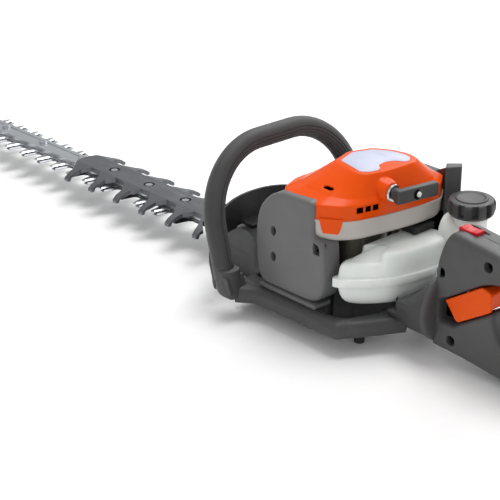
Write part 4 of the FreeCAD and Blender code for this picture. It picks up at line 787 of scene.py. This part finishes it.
def tooth_line(side, offset):
    """Left or right edge of a blade: one tooth outline repeated at the tooth pitch."""
    first = FIRST_TOOTH_X + offset + (0.0 if side > 0 else SIDE_STAGGER)
    x = np.array([-12.0, -7.6, -3.75, 3.75, 7.6, 12.0])
    y = np.array([14.0, 17.5, 35.6, 35.6, 17.5, 14.0])
    stations = first + TOOTH_PITCH * np.arange(TEETH)
    xs = (stations[:, None] + x[None, :]).reshape(-1)
    ys = np.tile(y, TEETH) * side
    return np.stack([xs, ys], axis=1)


def blade(name, node_name, low, offset, body, finish):
    """Toothed strip whose upper and lower edges are ground back to bright bevels."""
    left = tooth_line(1, offset)
    right = tooth_line(-1, offset)[::-1]
    tip = 844.0 + 9.25 + offset
    start = np.array([[100.0 + offset, -14.0], [100.0 + offset, 14.0]])
    nose = np.array([[tip, 8.4], [tip, -8.4]])
    outline = np.vstack([start, left, nose, right])
    loop = ring(outline, 1.0, 1.3)
    levels = [(low, 0.8), (low + 0.5, 0.0), (low + 0.9, 0.0), (low + 2.5, 2.3)]
    slab(name, [loop], "z", levels, body, finish, SLOTS[node_name], (node_name,), smooth=False)


def bolts():
    """Domed bright bolt heads with a hexagon rim, on the guard and along the bar."""
    guard = [(301.3 + 74 * i, 45.9) for i in range(3)]
    bar = [(523.3 + 92.5 * i, 43.3) for i in range(4)]
    for k, (x, seat) in enumerate(guard + bar):
        profile = [(0, 5.0), (0, 5.3), (2.0, 5.3), (2.9, 4.6), (3.3, 3.2), (3.4, 0.01)]

        def flats(r, angle, height):
            hexagon = np.cos(math.pi / 6) / np.cos((angle % (math.pi / 3)) - math.pi / 6)
            return np.where(height < seat + 2.5, np.minimum(r, 5.3 * hexagon * 1.02), r)

        lathe("bar_bolt_head_%d" % (k + 1), (x, 0, 0), "z", [(seat + h, r) for h, r in profile], "main_unit",
              zinc_bright, SLOTS["bar_bolts"], count=48, wave=flats)


# ---------------------------------------------------------------- build
starter_cover()
plan_strip((-20, 81), (-42, 66), 129.0, 146.0, 2.0, "cover_tab", abs_orange, SLOTS["starter_cover"])
fan_housing()
label()
side_cover()
fuel_tank()
fuel_cap()
front_handle()
base_frame()
rear_handle()
swivel_collar()
boss_fairing()
intake_filler()
lock_lever()
trigger()
stop_switch()
starter_grip()
blade("upper_blade_ground", "upper_blade", 34.65, 0.0, "upper_blade", steel_blade)
# The lower blade takes the darker steel: painted shade under the upper blade.
blade("lower_blade_ground", "lower_blade", 32.0, -5.5, "lower_blade", steel_shaded)
bolts()

ROUNDED = {"blade_guard": (steel_guard, 0.9), "guide_bar": (steel_bar, 0.7),
           "base_frame": (nylon_dark, 2.0), "gear_case_upper": (case_paint, 1.6),
           "gear_case_lower": (case_paint, 1.6), "hand_guard": (case_paint, 0.8),
           "air_filter_cover": (nylon_handle, 1.6), "crankcase": (alloy_cast, 1.2),
           "cylinder": (alloy_cast, 0.4), "throttle_lockout": (nylon_dark, 1.2),
           "filter_knob": (nylon_dark, 1.0), "choke_lever": (nylon_orange, 0.8),
           "carburettor": (alloy_cast, 0.5), "spark_plug_cap": (rubber_black, 1.0),
           "muffler": (steel_dark, 0.5), "frame_feet": (rubber_black, 0.8),
           "intake_plate": (rubber_black, 0.8),}
for node_name, (finish, width) in ROUNDED.items():
    bevelled(node_name, finish, width)

# The hand guard's lower corners are drawn in behind the handle sockets.
GUARD_STRAIGHT_Y = 90.0
GUARD_CORNER_Z = 40.0
for point in bpy.data.objects["hand_guard_body"].data.vertices:
    beyond = abs(point.co.y) - GUARD_STRAIGHT_Y * MM
    if beyond > 0 and point.co.z < GUARD_CORNER_Z * MM:
        point.co.y -= math.copysign(0.45 * beyond, point.co.y)

PLAIN = {"guard_bolts": zinc_bright, "bar_bolts": zinc_bright, "bar_nuts": zinc_bright,
         "gear_case_screws": screw_black, "drive_gear": steel_dark, "gear_axle": steel_dark,
         "clutch_drum": steel_dark, "pinion_bearing": zinc_bright, "crank_bearings": zinc_bright,
         "crankshaft": steel_dark, "clutch_shoes": steel_dark, "piston": alloy_cast,
         "piston_rod": steel_dark, "spark_plug": zinc_bright, "flywheel": alloy_cast,
         "starter_pulley": nylon_dark, "pulley_screw": screw_black, "cover_screw": screw_black,
         "air_filter_element": foam_dark, "front_handle": steel_dark, "handle_screws": screw_black,
         "swivel_tube": steel_dark, "upper_link": steel_dark, "lower_link": steel_dark,
         "trigger_pin": steel_dark, "primer_bulb": rubber_black,}
for node_name, finish in PLAIN.items():
    data = frame["nodes"][node_name].data
    data.materials.clear()
    data.materials.append(finish)


# ---------------------------------------------------------------- floor, light, camera
def stage_and_light():
    white = moulded("studio_floor_white", "#fbfbfb", "#fefefe", 0.9, depth=0.0)
    data = bpy.data.meshes.new("studio_floor")
    far = 12.0
    low = -0.0006
    corners = [(-far, -far, low), (far, -far, low), (far, far, low), (-far, far, low)]
    data.from_pydata(corners, [], [(0, 1, 2, 3)])
    floor = bpy.data.objects.new("studio_floor", data)
    bpy.context.scene.collection.objects.link(floor)
    data.materials.append(white)
    world = bpy.data.worlds.new("studio")
    world.use_nodes = True
    world.node_tree.nodes["Background"].inputs["Color"].default_value = (1, 1, 1, 1)
    world.node_tree.nodes["Background"].inputs["Strength"].default_value = 0.56
    bpy.context.scene.world = world
    for name, spot, power in (("overhead", (0.35, -0.5, 2.2), 31.0), ("back_right", (0.9, -2.0, 1.5), 18.0),
                              ("left_fill", (-1.6, 1.6, 1.2), 5.0)):
        lamp = bpy.data.lights.new(name, "AREA")
        lamp.size = 1.2
        lamp.energy = power
        holder = bpy.data.objects.new(name, lamp)
        holder.location = spot
        holder.rotation_euler = (Vector((0.05, 0, 0.08)) - Vector(spot)).to_track_quat("-Z", "Y").to_euler()
        bpy.context.scene.collection.objects.link(holder)


def camera():
    """Long lens from behind and to the left, looking down at the engine."""
    turn = math.radians(42.55)
    dip = math.radians(23.86)
    look = Vector((math.cos(dip) * math.cos(turn), -math.cos(dip) * math.sin(turn), -math.sin(dip)))
    data = bpy.data.cameras.new("camera")
    data.lens = 108.0
    data.sensor_width = 36.0
    holder = bpy.data.objects.new("camera", data)
    holder.location = (-1.0731, 1.149, 0.7704)
    holder.rotation_euler = look.to_track_quat("-Z", "Y").to_euler()
    bpy.context.scene.collection.objects.link(holder)
    bpy.context.scene.camera = holder


stage_and_light()
camera()
bpy.context.scene.view_settings.view_transform = "Standard"

bpy.context.view_layer.update()
